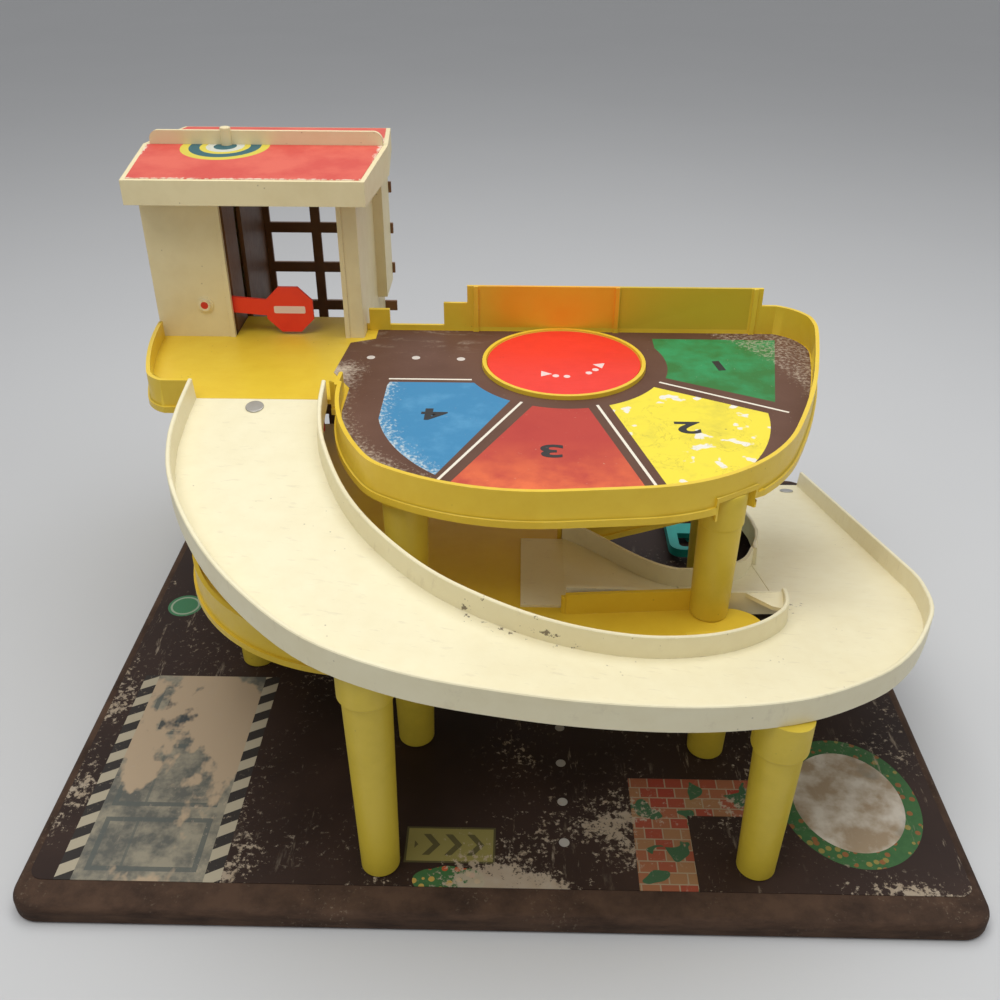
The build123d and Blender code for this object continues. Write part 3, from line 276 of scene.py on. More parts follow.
# moulded plastics: colour drift, grime specks in patches, scuffed edges, fine moulded texture
plastics = {
    "cream": {
        "light": (0.83, 0.765, 0.53), "dark": (0.77, 0.69, 0.45), "grime": (0.16, 0.11, 0.06),
        "scuff": (0.40, 0.31, 0.20), "rough": 0.36, "speck": 0.5, "wear": 0.45,
    },
    # tower cream: a yellower, darker copy of the cream, painted shade taken from the tower's walls in shade
    "shadeTintedCream": {
        "light": (0.79, 0.69, 0.42), "dark": (0.71, 0.60, 0.34), "grime": (0.16, 0.11, 0.06),
        "scuff": (0.38, 0.28, 0.17), "rough": 0.40, "speck": 0.5, "wear": 0.40,
    },
    "yellow": {
        "light": (0.79, 0.56, 0.042), "dark": (0.72, 0.475, 0.026), "grime": (0.14, 0.07, 0.01),
        "scuff": (0.86, 0.68, 0.22), "rough": 0.30, "speck": 0.4, "wear": 0.35,
    },
    "post": {
        "light": (0.70, 0.52, 0.045), "dark": (0.58, 0.43, 0.03), "grime": (0.16, 0.10, 0.02),
        "scuff": (0.80, 0.66, 0.22), "rough": 0.33, "speck": 0.4, "wear": 0.30,
    },
    "red": {
        "light": (0.83, 0.035, 0.02), "dark": (0.70, 0.02, 0.012), "grime": (0.20, 0.01, 0.01),
        "scuff": (0.90, 0.20, 0.13), "rough": 0.28, "speck": 0.3, "wear": 0.25,
    },
    "brown": {
        "light": (0.20, 0.090, 0.034), "dark": (0.12, 0.052, 0.020), "grime": (0.03, 0.015, 0.01),
        "scuff": (0.35, 0.22, 0.14), "rough": 0.42, "speck": 0.4, "wear": 0.4,
    },
    "teal": {
        "light": (0.01, 0.33, 0.29), "dark": (0.008, 0.22, 0.20), "grime": (0.01, 0.06, 0.05),
        "scuff": (0.25, 0.55, 0.50), "rough": 0.34, "speck": 0.4, "wear": 0.3,
    },
    "orange": {
        "light": (0.86, 0.42, 0.02), "dark": (0.80, 0.30, 0.01), "grime": (0.2, 0.07, 0.01),
        "scuff": (0.9, 0.6, 0.2), "rough": 0.30, "speck": 0.4, "wear": 0.3,
    },
}

# dirt on the ramp: crumbs along its inner bend, and long faint streaks
dirt = {
    "crumb": (0.10, 0.07, 0.045), "streak": (0.50, 0.42, 0.28),
    "bend": {"at": (20, 60), "inner": 184, "outer": 193, "squash": 1.15, "back": -70, "left": -35},
}


def rampDirt(p, base):
    g = dirt["bend"]
    bend = p.ring(g["at"], g["inner"], g["outer"], g["squash"]) * (p.y < g["back"] * mm) * (p.x > g["left"] * mm)
    crumbs = p.noise(200.0, 5.0, 0.7).rise(0.585, 0.62) * bend * (p.noise(30.0) > 0.49)
    base = p.mix(base, dirt["crumb"], crumbs * 0.85)
    streaks = p.noise(90.0, 5.0, 0.6, at=p.stretched((1.0, 4.0, 1.0), turn=(0, 0, 0.6))).rise(0.60, 0.72)
    return p.mix(base, dirt["streak"], streaks * 0.25)


def mouldedPlastic(name, look, tint=None):
    p = Paint(name)
    drift = p.noise(9.0, 3.0, 0.5)
    fine = p.noise(90.0, 5.0, 0.6)
    base = p.mix(look["light"], look["dark"], (drift * 0.6 + fine * 0.4).rise(0.42, 0.72))
    if tint:
        base = tint(p, base)
    patch = p.noise(28.0, 4.0, 0.6)
    specks = p.specks(230.0, 0.05, 0.14) * (patch > 0.60) * look["speck"]
    base = p.mix(base, look["grime"], specks)
    rim = p.edges(0.0011)
    chips = p.noise(160.0, 4.0, 0.7).rise(0.50, 0.62)
    base = p.mix(base, look["scuff"], rim * chips * look["wear"])
    scratch = p.noise(60.0, 6.0, 0.7, at=p.stretched((1.0, 7.0, 3.0), turn=(0.2, 0.1, 0.9)))
    p.set("Base Color", base)
    p.set("Roughness", look["rough"] + fine * 0.12 + scratch.rise(0.5, 0.7) * 0.14)
    p.set("Specular IOR Level", 0.5)
    grainy = p.noise(700.0, 3.0, 0.6)
    p.set("Normal", p.bump(grainy * 0.5 + fine * 0.5, 0.10, 0.0004))
    return p.material


# left half of the back wall turned orange with age, right half olive
ageing = {
    "start": -13.0, "middle": 74.0, "end": 162.0, "low": 195.0, "front": 106.0, "blend": (-22.0, 10.0),
    "stain": (0.84, 0.33, 0.012), "dull": (0.56, 0.40, 0.02),
}


def agedWall(p, base):
    wall = (p.z > ageing["low"] * mm) * (p.y > ageing["front"] * mm)
    left = p.x.rise(*((ageing["start"] + step) * mm for step in ageing["blend"])) * (p.x < ageing["middle"] * mm)
    cloud = p.noise(30.0, 3.0).rise(0.2, 0.75) * 0.5 + 0.5
    base = p.mix(base, ageing["stain"], wall * left * cloud * 0.85)
    right = p.x.between(ageing["middle"] * mm, ageing["end"] * mm)
    return p.mix(base, ageing["dull"], wall * right * 0.75)


# base board: brown fibre board, rough and dusty at its edges
board = {"light": (0.085, 0.048, 0.030), "dark": (0.032, 0.018, 0.012), "dust": (0.30, 0.24, 0.17)}


def fibreBoard():
    p = Paint("fibreBoard")
    grain = p.noise(140.0, 8.0, 0.7, at=p.stretched((0.35, 0.35, 2.2)))
    cloud = p.noise(22.0, 4.0)
    base = p.mix(board["light"], board["dark"], (grain * 0.6 + cloud * 0.4).rise(0.40, 0.62))
    dust = p.noise(420.0, 5.0, 0.75).rise(0.58, 0.70) * p.noise(34.0, 3.0).rise(0.48, 0.62)
    base = p.mix(base, board["dust"], dust * 0.6)
    base = p.mix(base, board["dust"], p.edges(0.0016) * grain.rise(0.45, 0.62) * 0.45)
    p.set("Base Color", base)
    p.set("Roughness", 0.78 + cloud * 0.15)
    p.set("Specular IOR Level", 0.25)
    p.set("Normal", p.bump(grain, 0.55, 0.0009))
    return p.material


# printed sheet on the base board, in millimetres from the middle of the base
ground = {
    "brown": (0.020, 0.0095, 0.0065),
    "brownLight": (0.040, 0.021, 0.015),
    "tan": (0.36, 0.27, 0.175),
    "chalk": (0.52, 0.45, 0.36),
    "panel": {
        "low": (-234, -205), "high": (-146, -43), "rail": 9.0, "pitch": 16.0, "slant": 0.55,
        "slabs": (((-220, -196), (-160, -160)), ((-220, -152), (-160, -104)), ((-220, -96), (-160, -52))),
        "line": 3, "rule": (18, 19.5), "shade": ((-212, -92), (-172, -62)), "bareAt": (-190, -112),
        "fill": (0.30, 0.27, 0.20), "fillDark": (0.115, 0.115, 0.10), "mark": (0.10, 0.11, 0.10),
        "shadeColor": (0.02, 0.03, 0.04), "bare": (0.44, 0.335, 0.225), "railColor": (0.42, 0.37, 0.27),
        "hazard": (0.03, 0.025, 0.022),
    },
    "plate": {
        "low": (-51, -187), "high": (-2, -163), "line": 1.2, "inset": 5, "middle": -175.0, "pitch": 12.0,
        "stroke": 4.0, "lean": 0.8, "fill": (0.27, 0.235, 0.07), "mark": (0.04, 0.035, 0.02),
    },
    "bed": {
        "at": (-26.5, -198.0), "squash": 0.45, "reach": 24.0, "wave": 12.0, "petal": 0.36,
        "leaf": (0.03, 0.10, 0.035), "leafLight": (0.06, 0.16, 0.05), "rust": (0.42, 0.09, 0.03),
        "gold": (0.46, 0.30, 0.07),
    },
    "dots": {
        "places": [(35.5, -84.7), (35.3, -114.0), (35.4, -143.5), (35.5, -172.1)], "radius": 2.9,
        "color": (0.42, 0.40, 0.37),
    },
    "path": {
        "low": (74, -208), "high": (105, -125), "end": 160.0, "turn": -152.0, "brick": (0.36, 0.05, 0.03),
        "brickPale": (0.36, 0.20, 0.09), "mortar": (0.40, 0.31, 0.20), "moss": (0.05, 0.13, 0.06),
    },
    "pond": {
        "at": (198, -139), "outer": 40.0, "inner": 31.0, "squash": 1.18, "pale": (0.62, 0.56, 0.47),
        "mud": (0.16, 0.19, 0.17),
    },
    "disc": {
        "at": (-229, 31), "radius": 12.0, "line": (8.8, 10.2), "fill": (0.06, 0.21, 0.10),
        "lineColor": (0.34, 0.42, 0.30),
    },
}


# panel with a hazard rail on two sides and three plain slabs
def hazardPanel(p):
    g = ground["panel"]
    low, high, line = g["low"], g["high"], g["line"]
    panel = p.mix(g["fillDark"], g["fill"], p.noise(60.0, 5.0, 0.65).rise(0.40, 0.62))
    panel = p.mix(panel, g["shadeColor"], p.box(*g["shade"]) * 0.8)
    for slabLow, slabHigh in g["slabs"]:
        panel = p.mix(panel, g["mark"], p.border(slabLow, slabHigh, line) * 0.85)
        ruleLow, ruleHigh = (slabLow[0] + step for step in g["rule"])
        panel = p.mix(panel, g["mark"], p.box((ruleLow, slabLow[1] + line), (ruleHigh, slabHigh[1] - line)) * 0.6)
    patchy = p.noise(19.0, 5.0, 0.6, at=p.stretched((1.0, 0.7, 1.0), shift=(0.05, 0.02, 0)))
    near = 1 - p.far(g["bareAt"]).rise(0.015, 0.060)
    panel = p.mix(panel, g["bare"], (patchy + near * 0.13).rise(0.52, 0.555))
    rails = p.box(low, (low[0] + g["rail"], high[1])) + p.box((high[0] - g["rail"], low[1]), high)
    slanted = ((p.y - p.x * g["slant"]) / mm) % g["pitch"]
    panel = p.mix(panel, g["railColor"], rails)
    return p.mix(panel, g["hazard"], rails * (slanted < g["pitch"] / 2))


def chevronPlate(p):
    g = ground["plate"]
    plate = p.mix(g["fill"], g["mark"], p.border(g["low"], g["high"], g["line"]) * 0.8)
    bent = p.x / mm + (p.y / mm - g["middle"]).size() * g["lean"]
    chevrons = ((bent % g["pitch"]) < g["stroke"]) * p.box(g["low"], g["high"], g["inset"])
    return p.mix(plate, g["mark"], chevrons * 0.75)


def flowerBed(p):
    g = ground["bed"]
    cells = p.raw("ShaderNodeTexVoronoi", {"feature": "F1"}, {"Vector": p.spot, "Scale": 210.0})
    pick = p.node("ShaderNodeSeparateColor", {}, {0: Wire(p.tree, cells.outputs["Color"])})
    leaves = p.mix(g["leaf"], g["leafLight"], p.noise(300.0))
    bloom = p.mix(p.mix(g["rust"], g["gold"], pick > 0.5), leaves, pick > 0.72)
    return leaves, p.mix(leaves, bloom, Wire(p.tree, cells.outputs["Distance"]) < g["petal"])


def mossyBricks(p):
    g = ground["path"]
    bricks = p.node("ShaderNodeTexBrick", {"offset": 0.5}, {
        "Vector": p.spot, "Scale": 75.0, "Color1": g["brick"], "Color2": g["brickPale"], "Mortar": g["mortar"],
        "Mortar Size": 0.03, "Brick Width": 0.75, "Row Height": 0.55})
    return p.mix(bricks, g["moss"], p.noise(70.0, 1.0) > 0.60)


# worn-through places: clusters of pale flecks, thick in the panel, the middle front and along the edges
def groundWear(p, inPanel):
    fleck = p.noise(260.0, 6.0, 0.78)
    region = p.noise(17.0, 3.0, 0.5)
    edge = p.x.size().rise(0.225, 0.25).most((p.y * -1.0).rise(0.185, 0.205))
    heavy = inPanel * 0.09 + edge * 0.05 + p.disc((15, -180), 60, 0.5) * 0.05
    streak = p.noise(150.0, 6.0, 0.75, at=p.stretched((1.0, 0.16, 1.0), turn=(0, 0, 0.12)))
    worn = fleck.rise(0.58, 0.66) * region.rise(0.44, 0.60)
    worn = worn.most(streak.rise(0.60, 0.68) * p.noise(11.0).rise(0.45, 0.60) * 0.7)
    return worn.most((fleck * 0.50 + region * 0.50 + heavy).rise(0.59, 0.615) * (1 - inPanel))


def groundPrint():
    p = Paint("groundPrint")
    cloud = p.noise(14.0, 4.0)
    base = p.mix(ground["brown"], ground["brownLight"], cloud.rise(0.35, 0.7))
    g = ground["panel"]
    inPanel = p.box(g["low"], g["high"])
    base = p.mix(base, hazardPanel(p), inPanel)
    g = ground["plate"]
    base = p.mix(base, chevronPlate(p), p.box(g["low"], g["high"]) * 0.9)
    g = ground["bed"]
    leaves, bed = flowerBed(p)
    wavy = p.noise(60.0, 2.0) * (g["wave"] * mm)
    base = p.mix(base, bed, (p.far(g["at"], g["squash"]) + wavy) < g["reach"] * mm)
    # path of bricks with a square turn
    g = ground["path"]
    onPath = p.box(g["low"], g["high"]) + p.box((g["high"][0], g["turn"]), (g["end"], g["high"][1]))
    base = p.mix(base, mossyBricks(p), onPath.least(1.0) * 0.85)
    # round pond ringed with green
    g = ground["pond"]
    base = p.mix(base, p.mix(bed, leaves, 0.45), p.ring(g["at"], g["inner"], g["outer"], g["squash"]))
    bare = p.mix(ground["tan"], g["pale"], p.noise(55.0, 5.0).rise(0.42, 0.62))
    bare = p.mix(bare, g["mud"], p.noise(24.0, 3.0).rise(0.60, 0.70) * 0.7)
    base = p.mix(base, bare, p.disc(g["at"], g["inner"], g["squash"]))
    g = ground["disc"]
    base = p.mix(base, g["fill"], p.disc(g["at"], g["radius"]))
    base = p.mix(base, g["lineColor"], p.ring(g["at"], *g["line"]))
    g = ground["dots"]
    for place in g["places"]:
        base = p.mix(base, g["color"], p.disc(place, g["radius"]))
    worn = groundWear(p, inPanel)
    base = p.mix(base, p.mix(ground["tan"], ground["chalk"], p.noise(90.0)), worn * 0.85)
    p.set("Base Color", base)
    p.set("Roughness", 0.50 + worn * 0.35 + cloud * 0.1)
    p.set("Specular IOR Level", 0.22)
    p.set("Normal", p.bump(worn * -1.0, 0.35, 0.0003))
    return p.material


# printed sheet of the top deck: four stalls round the turntable, each bounded by lines with the stall on one side
deck = {
    "brown": (0.095, 0.040, 0.022),
    "brownLight": (0.13, 0.062, 0.040),
    "pale": (0.52, 0.43, 0.33),
    "hub": (36.0, 57.0),
    "hubClear": 63.5,
    "blue": {
        "fill": (0.045, 0.225, 0.42), "light": (0.11, 0.34, 0.55), "pale": (0.62, 0.68, 0.66),
        "rimAt": (35.0, 0.0), "rim": 110.6, "box": ((-73.4, -120), (60, 27.2)), "right": ((-36, -84.4), (2.1, 2.6)),
    },
    "red": {
        "fill": (0.46, 0.050, 0.036), "glow": (0.84, 0.19, 0.06), "dark": (0.40, 0.035, 0.03),
        "pale": (0.78, 0.60, 0.46), "left": ((-26.9, -90.1), (16.0, -2.5)), "right": ((73.4, -93.3), (48.1, -3.0)),
        "back": -1.0,
    },
    "yellow": {
        "fill": (0.84, 0.70, 0.055), "dull": (0.66, 0.56, 0.06), "blot": (0.80, 0.77, 0.66),
        "stain": (0.36, 0.27, 0.05), "speck": (0.22, 0.18, 0.07), "rimAt": (40.0, -5.0), "rim": 113.5,
        "left": ((85.4, -93.8), (60.8, 0.2)), "back": ((90.4, 24.0), (156.0, -10.5)),
        "blotAt": (128, -52), "stainAt": (95, -45), "stainReach": 55,
    },
    "green": {
        "fill": (0.030, 0.165, 0.035), "light": (0.03, 0.27, 0.09), "pale": (0.35, 0.48, 0.36), "hubClear": 66.0,
        "front": ((98.1, 37.4), (160.5, 5.6)), "right": ((160.5, 5.6), (176.0, 83.0)), "back": 98.2, "left": 96.8,
    },
    "lines": {
        "color": (0.80, 0.74, 0.62), "width": 1.7,
        "ends": [
            ((9.3, 1.8), (-36.5, -94.0)), ((54.1, -1.2), (81.5, -101.0)), ((94.3, 31.1), (166.0, -7.8)),
            ((-73.4, 31.6), (-21.8, 31.6)),
        ],
    },
    "dots": {"color": (0.62, 0.56, 0.50), "radius": 2.7, "places": [(-88.5, 63.2), (-59.3, 63.4), (-30.1, 62.2)]},
}


def blueStall(p, clear, fine):
    g = deck["blue"]
    shape = clear * p.disc(g["rimAt"], g["rim"]) * p.box(*g["box"]) * p.left(*g["right"])
    color = p.mix(g["fill"], g["light"], p.noise(50.0, 5.0, 0.7).rise(0.50, 0.70) * 0.5)
    nearRim = p.far(g["rimAt"]).rise(0.088, g["rim"] * mm) * (p.x < -0.02)
    return shape, p.mix(color, g["pale"], (fine * 0.62 + nearRim * 0.20).rise(0.46, 0.56) * 0.85)


def redStall(p, clear, fine):
    g = deck["red"]
    shape = clear * (1 - p.left(*g["left"])) * p.left(*g["right"]) * (p.y < g["back"] * mm)
    glow = (p.y * -1.0).rise(0.045, 0.11) * p.noise(38.0, 4.0, 0.6).rise(0.30, 0.60)
    color = p.mix(g["fill"], g["glow"], glow)
    color = p.mix(color, g["dark"], p.noise(26.0).rise(0.5, 0.7) * 0.5)
    return shape, p.mix(color, g["pale"], fine.rise(0.665, 0.71) * 0.6)


def yellowStall(p, clear):
    g = deck["yellow"]
    shape = clear * p.disc(g["rimAt"], g["rim"]) * (1 - p.left(*g["left"])) * (1 - p.left(*g["back"]))
    color = p.mix(g["fill"], g["dull"], p.noise(45.0, 5.0, 0.65).rise(0.50, 0.68) * 0.7)
    near = 1 - p.far(g["blotAt"]).rise(0.012, 0.045)
    color = p.mix(color, g["blot"], (p.noise(62.0, 3.0, 0.5) + near * 0.10).rise(0.625, 0.65))
    stain = p.noise(40.0, 5.0, 0.6, warp=1.5).between(0.555, 0.568) * p.disc(g["stainAt"], g["stainReach"])
    color = p.mix(color, g["stain"], stain * 0.3)
    specks = p.specks(95.0, 0.03, 0.09) * (p.noise(20.0) > 0.52)
    return shape, p.mix(color, g["speck"], specks * 0.7)


def greenStall(p, fine):
    g = deck["green"]
    shape = (p.far(deck["hub"]) > g["hubClear"] * mm) * p.left(*g["front"]) * p.left(*g["right"])
    shape = shape * (p.y < g["back"] * mm) * (p.x > g["left"] * mm)
    color = p.mix(g["fill"], g["light"], p.noise(60.0, 4.0).rise(0.4, 0.7))
    return shape, p.mix(color, g["pale"], fine.rise(0.66, 0.72) * 0.6)


# pale scuffs on the left end, behind the turntable and near the rim
def deckWear(p, fine):
    leftEnd = p.far((20, 10)).rise(0.095, 0.128) * (p.x < -0.035) * (0.075 - p.y).rise(0.0, 0.03)
    smear = p.noise(26.0, 6.0, 0.7, at=p.stretched((1.0, 2.6, 1.0), turn=(0, 0, -0.5)), warp=1.2)
    upper = (p.x * -1.0).rise(-0.02, 0.03) * p.y.rise(0.060, 0.085)
    worn = (fine * 0.60 + leftEnd * 0.34).rise(0.50, 0.66)
    worn = worn.most(upper * smear.rise(0.54, 0.74) * fine.rise(0.35, 0.62) * 0.8)
    worn = worn.most(fine.rise(0.66, 0.70) * 0.6)
    rimBand = p.far((36, 0)).rise(0.130, 0.150) * (p.x > 0.06)
    return worn.most((fine * 0.6 + rimBand * 0.22).rise(0.50, 0.60) * 0.7)


def deckPrint():
    p = Paint("deckPrint")
    cloud = p.noise(18.0, 4.0)
    fine = p.noise(420.0, 6.0, 0.75)
    base = p.mix(deck["brown"], deck["brownLight"], cloud.rise(0.35, 0.7))
    clear = p.far(deck["hub"]) > deck["hubClear"] * mm
    stalls = [blueStall(p, clear, fine), redStall(p, clear, fine), yellowStall(p, clear), greenStall(p, fine)]
    for shape, color in stalls:
        base = p.mix(base, color, shape)
    g = deck["lines"]
    for start, end in g["ends"]:
        base = p.mix(base, g["color"], p.stripe(start, end, g["width"]))
    g = deck["dots"]
    for place in g["places"]:
        base = p.mix(base, g["color"], p.disc(place, g["radius"]))
    worn = deckWear(p, fine)
    base = p.mix(base, deck["pale"], worn)
    p.set("Base Color", base)
    p.set("Roughness", 0.50 + worn * 0.3 + fine * 0.12)
    p.set("Specular IOR Level", 0.3)
    p.set("Normal", p.bump(worn * -1.0 + fine * 0.2, 0.25, 0.0002))
    return p.material


# red roof panels with plain rings at the foot of the mast
roofLook = {
    "red": (0.58, 0.065, 0.045), "faded": (0.66, 0.115, 0.075), "bare": (0.78, 0.66, 0.52),
    "yellow": (0.62, 0.52, 0.06), "dark": (0.02, 0.10, 0.12), "pale": (0.55, 0.56, 0.48),
    "ringsAt": (-187.0, 142.0), "ringsBack": 146.5,
    "rings": [("yellow", -1.0, 29.0), ("dark", 16.5, 23.5), ("pale", -1.0, 12.5), ("dark", -1.0, 7.5)],
    "middle": -162.0, "sides": (71.0, 76.5), "eave": 78.5, "eaveBlend": 2.0,
}


def roofPrint():
    p = Paint("roofPrint")
    cloud = p.noise(30.0, 5.0, 0.65)
    fine = p.noise(300.0, 6.0, 0.75)
    base = p.mix(roofLook["red"], roofLook["faded"], cloud.rise(0.40, 0.62))
    shown = p.y < roofLook["ringsBack"] * mm
    for color, inner, outer in roofLook["rings"]:
        base = p.mix(base, roofLook[color], p.ring(roofLook["ringsAt"], inner, outer) * shown)
    edge = (p.x - roofLook["middle"] * mm).size().rise(*(side * mm for side in roofLook["sides"]))
    blend = roofLook["eaveBlend"] * mm
    eave = (roofLook["eave"] * mm - p.y).rise(-blend, blend)
    worn = (fine * 0.6 + edge.most(eave) * 0.25 + cloud * 0.2).rise(0.60, 0.66)
    base = p.mix(base, roofLook["bare"], worn * 0.9)
    p.set("Base Color", base)
    p.set("Roughness", 0.5 + cloud * 0.2)
    p.set("Normal", p.bump(fine, 0.2, 0.0003))
    return p.material


# stop arm rivets: cream head with a red plug
rivetLook = {
    "x": -201.6, "heights": (214.7, 129.7), "plug": 2.5,
    "cream": (0.80, 0.72, 0.50), "dull": (0.66, 0.56, 0.36), "red": (0.62, 0.03, 0.02),
}


def rivetPaint():
    p = Paint("rivetPaint")
    across = (p.x - rivetLook["x"] * mm) ** 2.0
    upper, lower = ((across + (p.z - height * mm) ** 2.0).root() for height in rivetLook["heights"])
    plug = upper.least(lower) < rivetLook["plug"] * mm
    fine = p.noise(300.0, 4.0)
    head = p.mix(rivetLook["cream"], rivetLook["dull"], fine.rise(0.4, 0.7))
    p.set("Base Color", p.mix(head, rivetLook["red"], plug))
    p.set("Roughness", 0.32 + fine * 0.1)
    return p.material


# guide rods, axle, screws and rivets
steelLook = {"bright": (0.46, 0.45, 0.43), "rust": (0.20, 0.09, 0.04)}


def drawnSteel():
    p = Paint("drawnSteel")
    lines = p.noise(120.0, 5.0, 0.6, at=p.stretched((1.0, 1.0, 0.12)))
    rust = p.noise(60.0, 6.0, 0.7).rise(0.58, 0.70)
    p.set("Base Color", p.mix(steelLook["bright"], steelLook["rust"], rust * 0.6))
    p.set("Metallic", 1.0 - rust * 0.6)
    p.set("Roughness", 0.28 + lines * 0.25 + rust * 0.2)
    p.set("Normal", p.bump(lines, 0.15, 0.0002))
    return p.material


cordLook = {"light": (0.60, 0.56, 0.46), "dark": (0.30, 0.27, 0.21), "twists": 900.0}


def twistedCord():
    p = Paint("twistedCord")
    twist = (((p.z + p.x + p.y) * cordLook["twists"]) % 1.0 - 0.5).size()
    p.set("Base Color", p.mix(cordLook["light"], cordLook["dark"], twist * 1.6))
    p.set("Roughness", 0.85)
    p.set("Normal", p.bump(twist, 0.4, 0.0002))
    return p.material


inks = {
    "black": {"fill": (0.012, 0.012, 0.012), "worn": (0.10, 0.09, 0.08)},
    "white": {"fill": (0.80, 0.62, 0.58), "worn": (0.70, 0.45, 0.42)},
}


def inkPaint(name, look):
    p = Paint(name)
    fine = p.noise(380.0, 5.0, 0.75)
    p.set("Base Color", p.mix(look["fill"], look["worn"], fine.rise(0.60, 0.72) * 0.6))
    p.set("Roughness", 0.45 + fine * 0.1)
    return p.material


cream = mouldedPlastic("creamPlastic", plastics["cream"], rampDirt)
# tower pieces get the yellower, darker cream: painted shade
shadeTintedCream = mouldedPlastic("shadeTintedCreamPlastic", plastics["shadeTintedCream"])
postYellow = mouldedPlastic("postYellowPlastic", plastics["post"])
yellow = mouldedPlastic("yellowPlastic", plastics["yellow"])
agedYellow = mouldedPlastic("agedYellowPlastic", plastics["yellow"], agedWall)
red = mouldedPlastic("redPlastic", plastics["red"])
orange = mouldedPlastic("orangePlastic", plastics["orange"])
brown = mouldedPlastic("brownPlastic", plastics["brown"])
teal = mouldedPlastic("tealPlastic", plastics["teal"])
fibre = fibreBoard()
groundSheet = groundPrint()
deckSheet = deckPrint()
roofSheet = roofPrint()
steel = drawnSteel()
rivetMix = rivetPaint()
cordPaint = twistedCord()
ink = inkPaint("blackInk", inks["black"])
whiteInk = inkPaint("whiteInk", inks["white"])
print("materials made")

finishes = {
    fibre: ["base_board"],
    groundSheet: ["base_printed_sheet"],
    deckSheet: ["top_deck_printed_sheet"],
    roofSheet: ["roof_front_panel", "roof_rear_panel"],
    agedYellow: ["top_deck"],
    yellow: ["second_deck"],
    orange: ["turntable_retainer"],
    postYellow: ["deck_leg_front_left", "deck_leg_front_right", "deck_leg_rear_right", "deck_leg_side",
                 "pillar_front_left", "pillar_front_right", "pillar_rear_right", "ramp_leg_left", "ramp_leg_right"],
    cream: ["main_ramp", "second_level_ramp"],
    shadeTintedCream: ["tower_ground_storey", "tower_middle_storey", "tower_top_storey", "roof", "roof_fin",
                "stop_arm_washers"],
    rivetMix: ["stop_arm_rivets"],
    red: ["turntable", "stop_arm_top", "stop_arm_second", "crank_arm", "crank_knob", "crank_spool", "pulley"],
    brown: ["shaft_inner_wall", "shaft_lattice", "lift_head_bracket"],
    teal: ["lift_platform", "lift_carriage", "hoist_ram", "hoist_frame"],
    steel: ["guide_rod_front", "guide_rod_rear", "pulley_axle", "leg_screws", "ramp_rivets"],
    cordPaint: ["lift_cord", "lift_cord_run"],
}
for material, names in finishes.items():
    for name in names:
        for slot in nodes[name].material_slots:
            slot.material = material
print("CAD nodes painted")


def meshPiece(name, bm):
    mesh = bpy.data.meshes.new(name)
    bm.to_mesh(mesh)
    bm.free()
    obj = bpy.data.objects.new(name, mesh)
    scene.collection.objects.link(obj)
    return obj


def curvePiece(name, curve):
    holder = bpy.data.objects.new(name + "Holder", curve)
    scene.collection.objects.link(holder)
    bpy.context.view_layer.update()
    mesh = bpy.data.meshes.new_from_object(holder.evaluated_get(bpy.context.evaluated_depsgraph_get()))
    bpy.data.objects.remove(holder)
    obj = bpy.data.objects.new(name, mesh)
    scene.collection.objects.link(obj)
    return obj


# moulded piece that replaces nodes, from a mesh in millimetres; edges turn sharp at an angle in degrees
def shipPiece(name, bm, material, body, slotName, *stands, sharp=32):
    bmesh.ops.scale(bm, vec=(mm, mm, mm), verts=bm.verts)
    bmesh.ops.recalc_face_normals(bm, faces=bm.faces)
    for face in bm.faces:
        face.smooth = True
    obj = meshPiece(name, bm)
    obj.data.set_sharp_from_angle(angle=radians(sharp))
    obj.data.materials.append(material)
    obj.modifiers.new("evenNormals", "WEIGHTED_NORMAL").keep_sharp = True
    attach(obj, body)
    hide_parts(*stands)


# curved ramp: one channel swept round smooth inner and outer lines, then straight down to the board
ramp = {
    "outer": [
        (-189, 2.3), (-188.6, -28), (-185.5, -58), (-175.5, -92), (-154, -131), (-126, -165), (-89, -194),
        (-46, -208.5), (0, -213), (48, -212.5), (98, -206), (146, -191), (187, -166), (211, -142), (228, -116),
        (239, -93), (246, -60),
    ],
    "inner": [
        (-107, 2.3), (-106, -22), (-100, -50), (-84, -86), (-63, -113), (-34, -136.5), (0, -151), (33, -157.5),
        (68, -156), (100, -146), (125, -131.5), (145, -113), (156, -94), (160, -60),
    ],
    # rows of y, right and left below the bend
    "lower": [
        (-52, 247.2, 160), (-40, 248, 160), (-16, 248, 160), (-1, 248, 160), (0, 248, 160), (8, 248, 161.2),
        (22, 248, 166), (40, 248, 170), (62, 248, 172), (110, 248, 172), (160, 248, 172), (205, 248, 172),
    ],
    "steps": 72, "head": 192.0, "fall": 0.17307, "ease": 40.0, "bendEndY": -60.0,
    "foot": 14.7, "footY": 205.0, "slope": 0.307,
    "wall": 2.4, "draft": 0.8, "rim": 13.0, "floor": 2.5, "soft": 0.5,
    # where the second lane joins, the inner wall is left out
    "join": {"x": 150, "low": -72.0, "high": -0.5, "soft": 0.4, "flat": 1.0},
    "bosses": {"places": [(231.0, 185.0), (189.0, 185.0)], "radius": 6.5, "low": 12.02, "sunk": 1.4},
}


def runsAlong(points):
    runs = [0.0]
    for a, b in zip(points, points[1:]):
        runs.append(runs[-1] + (b - a).length)
    return runs


